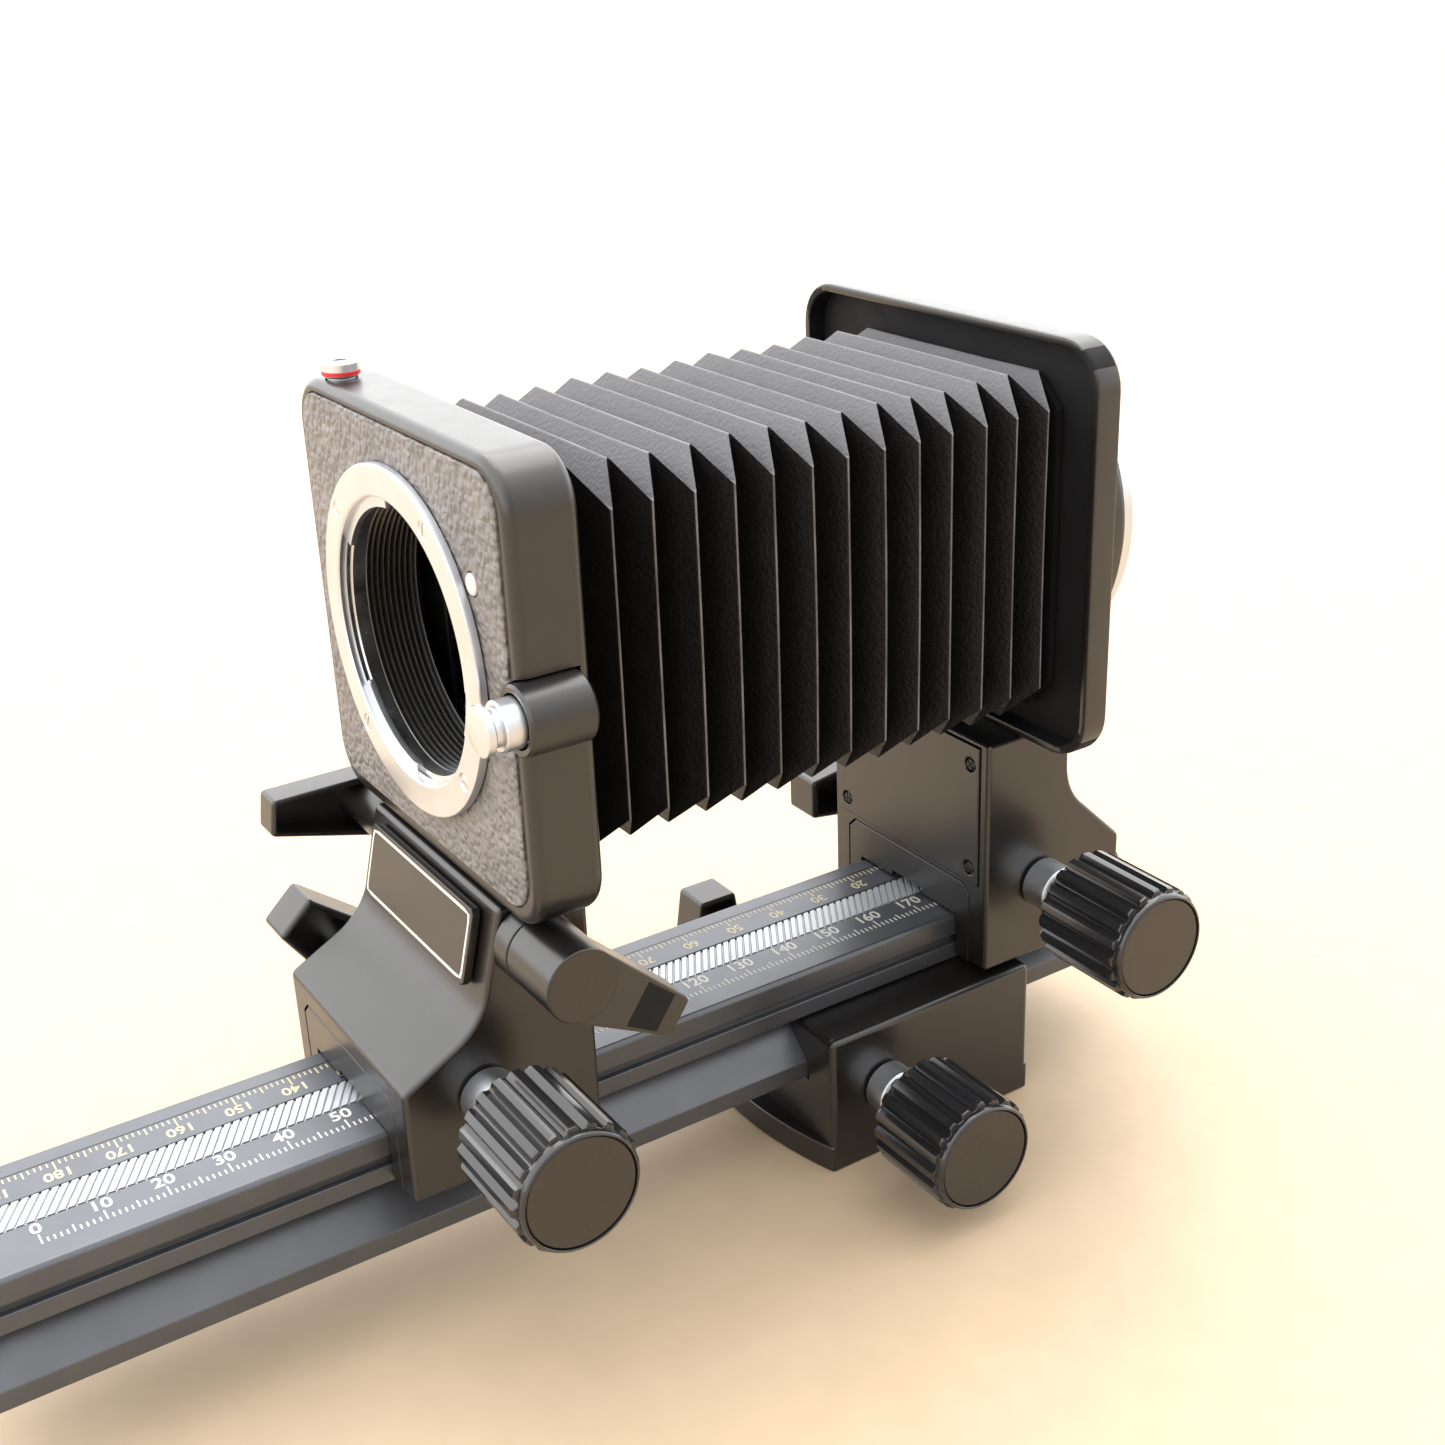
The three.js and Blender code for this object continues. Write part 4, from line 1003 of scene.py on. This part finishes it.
def make_pleat(index):
    """One fold of the bellows, from one wide section to the next."""
    start = bellows_start + index * pitch
    rows = fold_rows(0.5 if index == PLEATS - 1 else 1.0)
    swell = 1.1 * math.sin(math.pi * (index + 0.5) / PLEATS) - 0.5 + 0.2 * math.sin(index * 2.4)
    sag = 0.3 * math.sin(index * 1.7 + 0.6)
    after = 1.1 * math.sin(math.pi * (index + 1.5) / PLEATS) - 0.5 + 0.2 * math.sin((index + 1) * 2.4)
    outer, inner = [], []
    for along, share in rows:
        width = swell + (after - swell) * along
        lift = sag * share
        outer.append(ring_at("y", start + along * pitch, section(share, width, lift)))
        inner.append(ring_at("y", start + along * pitch, section(share, width, lift, 0.5)))
    name = f"bellows_pleat_{index + 1:02d}"
    obj = link(name, to_mesh(name, loft(outer + inner[::-1], closed=True)))
    shade(obj, 50)
    half = "bellows_front_half" if index < FRONT_PLEATS else "bellows_rear_half"
    dress(obj, None, "bellows_leather", (half,))
    obj.data.materials.append(WORN_EDGE)
    side_edge, top_edge = (ORIGIN.y + start) * MM, (ORIGIN.y + start + pitch / 2) * MM
    for polygon in obj.data.polygons:
        level = polygon.center
        near_side = min(abs(level.y - side_edge), abs(level.y - side_edge - pitch * MM))
        on_side = abs(polygon.normal.x) > 0.3 and near_side < FOLD_ROUNDING * pitch * MM * 0.6
        on_top = abs(polygon.normal.z) > 0.3 and abs(level.y - top_edge) < FOLD_ROUNDING * pitch * MM * 0.6
        if on_side or on_top:
            polygon.material_index = 1
    return obj


def pin(obj, body, near, far, near_share, far_share):
    """Bakes obj's transform into its mesh. near and far, its near and far edges, and near_share and
    far_share, the shares of the standard's travel that they were to move by, are not used. The next pleat has
    the same share at the edge that they meet on."""

    def at(y):
        return (Vector((0, y, TALL[2])) + ORIGIN) * MM
    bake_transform(obj)


middle_at = bellows_start + FRONT_PLEATS * pitch
for index in range(PLEATS):
    pleat = make_pleat(index)
    edges = [bellows_start + index * pitch, bellows_start + (index + 1) * pitch]
    if index < FRONT_PLEATS:
        shares = [1 - (index + 1) / FRONT_PLEATS, 1 - index / FRONT_PLEATS]
        pin(pleat, "lens_standard", edges[1], edges[0], *shares)
    else:
        edges[1] = min(edges[1], bellows_end)
        shares = [(edge - middle_at) / (bellows_end - middle_at) for edge in edges]
        pin(pleat, "camera_standard", edges[0], edges[1], *shares)
refined("bellows_front_plate", "lens_standard", "black_paint", 0.15, 2, FLAT_BLACK)
refined("bellows_rear_plate", "camera_standard", "black_paint", 0.15, 2, FLAT_BLACK)

# Camera frame and mount -----------------------------------------------------------------------------

hood_x, hood_y, hood_z = extent("camera_frame")
hood_half = ((hood_x[1] - hood_x[0]) / 2, (hood_z[1] - hood_z[0]) / 2)
WALL = 1.6
HOOD_BORE = 25
hood_height = middle(hood_z)


def hood_ring(inset, along, count=OUTLINE):
    return ring_at("y", along, rounded(hood_half[0] - inset, hood_half[1] - inset, max(0.6, CORNER - inset),
                                       (0, hood_height), count))


rings = [hood_ring(0.7, hood_y[1]), hood_ring(0.2, hood_y[1] - 0.2), hood_ring(0, hood_y[1] - 0.7),
         hood_ring(0, hood_y[0] + 0.5), hood_ring(0.15, hood_y[0] + 0.15), hood_ring(0.5, hood_y[0]),
         hood_ring(WALL - 0.35, hood_y[0]), hood_ring(WALL - 0.08, hood_y[0] + 0.15),
         hood_ring(WALL, hood_y[0] + 0.5), hood_ring(WALL, hood_y[1] - WALL)]
for along in (hood_y[1] - WALL, hood_y[1]):
    rings.append(bore_ring(HOOD_BORE, along, hood_height))
hood = piece("camera_frame_shell", loft(rings, closed=True), "camera_standard", "black_paint",
             ("camera_frame",), angle=40)
hood.data.materials.append(FLAT_BLACK)
for polygon in hood.data.polygons:
    x, y, z = polygon.center / MM - ORIGIN
    inside = abs(x) < hood_half[0] - WALL + 0.1 and abs(z - hood_height) < hood_half[1] - WALL + 0.1
    if inside and y < hood_y[1] - WALL / 2:
        polygon.material_index = 1

barrel_x, barrel_y, _ = extent("camera_mount_barrel")
barrel_radius = (barrel_x[1] - barrel_x[0]) / 2
barrel_profile = [(HOOD_BORE, barrel_y[0]), (barrel_radius - 0.3, barrel_y[0]),
                  (barrel_radius, barrel_y[0] + 0.3),
                  (barrel_radius, barrel_y[0] + 3.0), (barrel_radius - 0.35, barrel_y[0] + 3.2),
                  (barrel_radius - 0.35, barrel_y[0] + 3.8), (barrel_radius, barrel_y[0] + 4.0),
                  (barrel_radius, barrel_y[1] - 0.9), (barrel_radius - 0.25, barrel_y[1] - 0.25),
                  (barrel_radius - 0.9, barrel_y[1]), (HOOD_BORE, barrel_y[1])]
piece("camera_barrel", lathe(barrel_profile, "y", (0, hood_height), 200, closed=True), "camera_mount",
      "black_paint", ("camera_mount_barrel",), angle=36)
flange_x, flange_y, _ = extent("camera_bayonet_ring")
flange_radius = (flange_x[1] - flange_x[0]) / 2
flange_profile = [(22.5, flange_y[0]), (22.5, flange_y[1] - 0.25), (22.8, flange_y[1]),
                  (flange_radius - 0.35, flange_y[1]),
                  (flange_radius, flange_y[1] - 0.35), (flange_radius, flange_y[0] + 1.4),
                  (flange_radius - 0.3, flange_y[0] + 1.2),
                  (flange_radius - 0.3, flange_y[0] + 0.9), (flange_radius, flange_y[0] + 0.7),
                  (flange_radius, flange_y[0])]
mark_x, mark_y, mark_z = extent("camera_index_dot")
index_at = (middle(mark_x), middle(mark_z))
piece("camera_bayonet", lathe(flange_profile, "y", (0, hood_height), 200, closed=True), "camera_mount",
      "chrome", ("camera_bayonet_ring",),
      cuts=[prism(circle(1.3, 48, index_at), "y", (flange_y[1] - 0.9, flange_y[1] + 1))])
dot_profile = [(1, mark_y[0]), (1, mark_y[1] - 0.15), (0.85, mark_y[1]), (0.2, mark_y[1] + 0.01)]
piece("camera_index_bead", lathe(dot_profile, "y", index_at, 48), "camera_mount", "red_paint",
      ("camera_index_dot",))

# Tripod block ---------------------------------------------------------------------------------------

base_x, base_y, base_z = extent("tripod_block")
plate_x, plate_y, plate_z = extent("tripod_plate")
seat_at = middle(plate_y)
block_half = base_x[1]
BLOCK_LENGTH = 48.0
body_y = (seat_at - BLOCK_LENGTH / 2, seat_at + BLOCK_LENGTH / 2)
lip_bulge = base_y[1] - body_y[1]
LIP_HEIGHT = 5.6


def foot_outline(steps=40):
    """The block's foot from above: straight sides, and ends that bow out."""
    half = block_half - 0.05  # just inside the block's own sides
    bow_radius = (half**2 + lip_bulge**2) / (2 * lip_bulge)
    bow_half = math.asin(half / bow_radius)
    points = []
    for side in (1, -1):
        centre = seat_at + side * (BLOCK_LENGTH / 2 + lip_bulge - bow_radius)
        for i in range(steps + 1):
            turn = bow_half * (1 - 2 * i / steps)
            points.append((side * bow_radius * math.sin(turn), centre + side * bow_radius * math.cos(turn)))
    return points


SLOT_ROOM = 0.45
dovetail = [(9.5 + SLOT_ROOM, base_z[1] + 1), (9.5 + SLOT_ROOM, -10.4), (17 + SLOT_ROOM, -17.7),
            (17 + SLOT_ROOM, -21.3 - SLOT_ROOM)]
dovetail += [(-x, z) for x, z in reversed(dovetail)]
bush_large, bush_small = extent("tripod_bush_large"), extent("tripod_bush_small")
bush_rooms = [
    prism(circle((bx[1] - bx[0]) / 2 + 0.3, 64, (0, middle(by))), "z", (bz[0] - 1, bz[1] + 0.3))
    for bx, by, bz in (bush_large, bush_small)
]
block_cuts = [
    prism(dovetail, "y", (body_y[0] - 6, body_y[1] + 6)),
    block((plate_x[0] - 0.3, plate_x[1] + 0.3), (plate_y[0] - 0.3, plate_y[1] + 0.3),
          (plate_z[0] - 1, plate_z[1] + 0.3)),
    *bush_rooms,
    *drive_holes("block", 5.1),
]
upper = block(base_x, body_y, (base_z[0] + 0.5, base_z[1]))
piece("block_body", upper, "block", "black_paint", ("tripod_block",), edge=1.3, cuts=block_cuts)
foot = prism(foot_outline(), "z", (base_z[0], base_z[0] + LIP_HEIGHT))
piece("block_foot", foot, "block", "black_paint", edge=0.5, cuts=block_cuts[1:4])
refined("tripod_plate", "block", "steel", 0.15, 2, angle=40)
for bush in ("large", "small"):
    bx, by, bz = extent(f"tripod_bush_{bush}")
    outer, inner = (bx[1] - bx[0]) / 2, 4.76 if bush == "large" else 3.18
    profile = [(outer, bz[0] + 0.2), (outer, bz[1])]
    threads = 14
    for i in range(threads):
        at = bz[1] - (bz[1] - bz[0] - 0.4) * i / threads
        profile += [(inner, at), (inner + 0.45, at - 0.3)]
    profile += [(inner + 0.4, bz[0]), (outer - 0.2, bz[0])]
    piece(f"tripod_bush_{bush}_threaded", lathe(profile, "z", (0, middle(by)), 64, closed=True), "block",
          "brass", (f"tripod_bush_{bush}",), angle=30)
for i, (side_x, side_y) in enumerate(((-1, -1), (-1, 1), (1, -1), (1, 1)), 1):
    at = (side_x * (plate_x[1] - 3.5), seat_at + side_y * ((plate_y[1] - plate_y[0]) / 2 - 3.5))
    head, cut = slotted_screw(1.9, 0.8, "z", (plate_z[0] + 1.2, *at), 0.7 * i, -1)
    piece(f"tripod_plate_screw_{i}", head, "block", "steel", cuts=[cut])

# Stage, camera and light ----------------------------------------------------------------------------

FLOOR_HALF = 40.0
SKY_STRENGTH = 3.4
SKY_LEFT = (1.0, 1.0, 1.0, 1)
SKY_RIGHT = (0.36, 0.34, 0.32, 1)


def stage_plane():
    """A plain tan floor under the lowest point of the object."""
    floor_z = cad_box[0].z
    mesh = bpy.data.meshes.new("floor")
    corners = [(x * FLOOR_HALF, y * FLOOR_HALF, floor_z) for x, y in ((-1, -1), (1, -1), (1, 1), (-1, 1))]
    mesh.from_pydata(corners, [], [(0, 1, 2, 3)])
    floor = link("floor", mesh)
    paint = material("floor_paint", (0.44, 0.335, 0.225), 0.6, grain=(4.0, 0.02), mottle=0.02)
    mesh.materials.append(paint)


def soft_light(name, size, place, energy, color):
    lamp = bpy.data.lights.new(name, "AREA")
    lamp.shape = "RECTANGLE"
    lamp.size, lamp.size_y = size
    lamp.energy = energy
    lamp.color = color
    obj = link(name, lamp)
    obj.location = place
    target = (cad_box[0] + cad_box[1]) / 2
    obj.rotation_mode = "QUATERNION"
    obj.rotation_quaternion = (target - Vector(place)).to_track_quat("-Z", "Y")


def sky():
    """A plain surround, white on the left and dimmer towards the right."""
    world = bpy.data.worlds.new("surround")
    world.use_nodes = True
    bpy.context.scene.world = world
    nodes, links = world.node_tree.nodes, world.node_tree.links
    direction = nodes.new("ShaderNodeTexCoord").outputs["Generated"]
    split = nodes.new("ShaderNodeSeparateXYZ")
    links.new(direction, split.inputs["Vector"])
    ramp = nodes.new("ShaderNodeValToRGB")
    ramp.color_ramp.elements[0].position = 0.0
    ramp.color_ramp.elements[0].color = SKY_LEFT
    ramp.color_ramp.elements[1].position = 1.0
    ramp.color_ramp.elements[1].color = SKY_RIGHT
    spread = nodes.new("ShaderNodeMapRange")
    spread.inputs["From Min"].default_value = 0.15
    spread.inputs["From Max"].default_value = 0.9
    links.new(split.outputs["X"], spread.inputs["Value"])
    links.new(spread.outputs["Result"], ramp.inputs["Fac"])
    links.new(ramp.outputs["Color"], nodes["Background"].inputs["Color"])
    nodes["Background"].inputs["Strength"].default_value = SKY_STRENGTH


def photograph_camera():
    """The viewpoint of the photograph: in front, to the right and above."""
    lens = bpy.data.cameras.new("camera")
    lens.lens = 46.6
    lens.sensor_width = 36
    lens.shift_x = 0.005
    lens.shift_y = -0.0132
    lens.clip_start = 0.01
    camera = link("camera", lens)
    right = Vector((0.54512, 0.83752, -0.0375))
    up = Vector((-0.30921, 0.24243, 0.91958))
    turn = Matrix((right, up, right.cross(up))).transposed()
    camera.matrix_world = Matrix.Translation((0.26107, -0.19462, 0.22104)) @ turn.to_4x4()
    bpy.context.scene.camera = camera


stage_plane()
sky()
soft_light("overhead", (0.9, 0.9), (-0.35, 0.15, 0.95), 8, (1.0, 0.98, 0.95))
photograph_camera()
bpy.context.scene.view_settings.view_transform = "Standard"
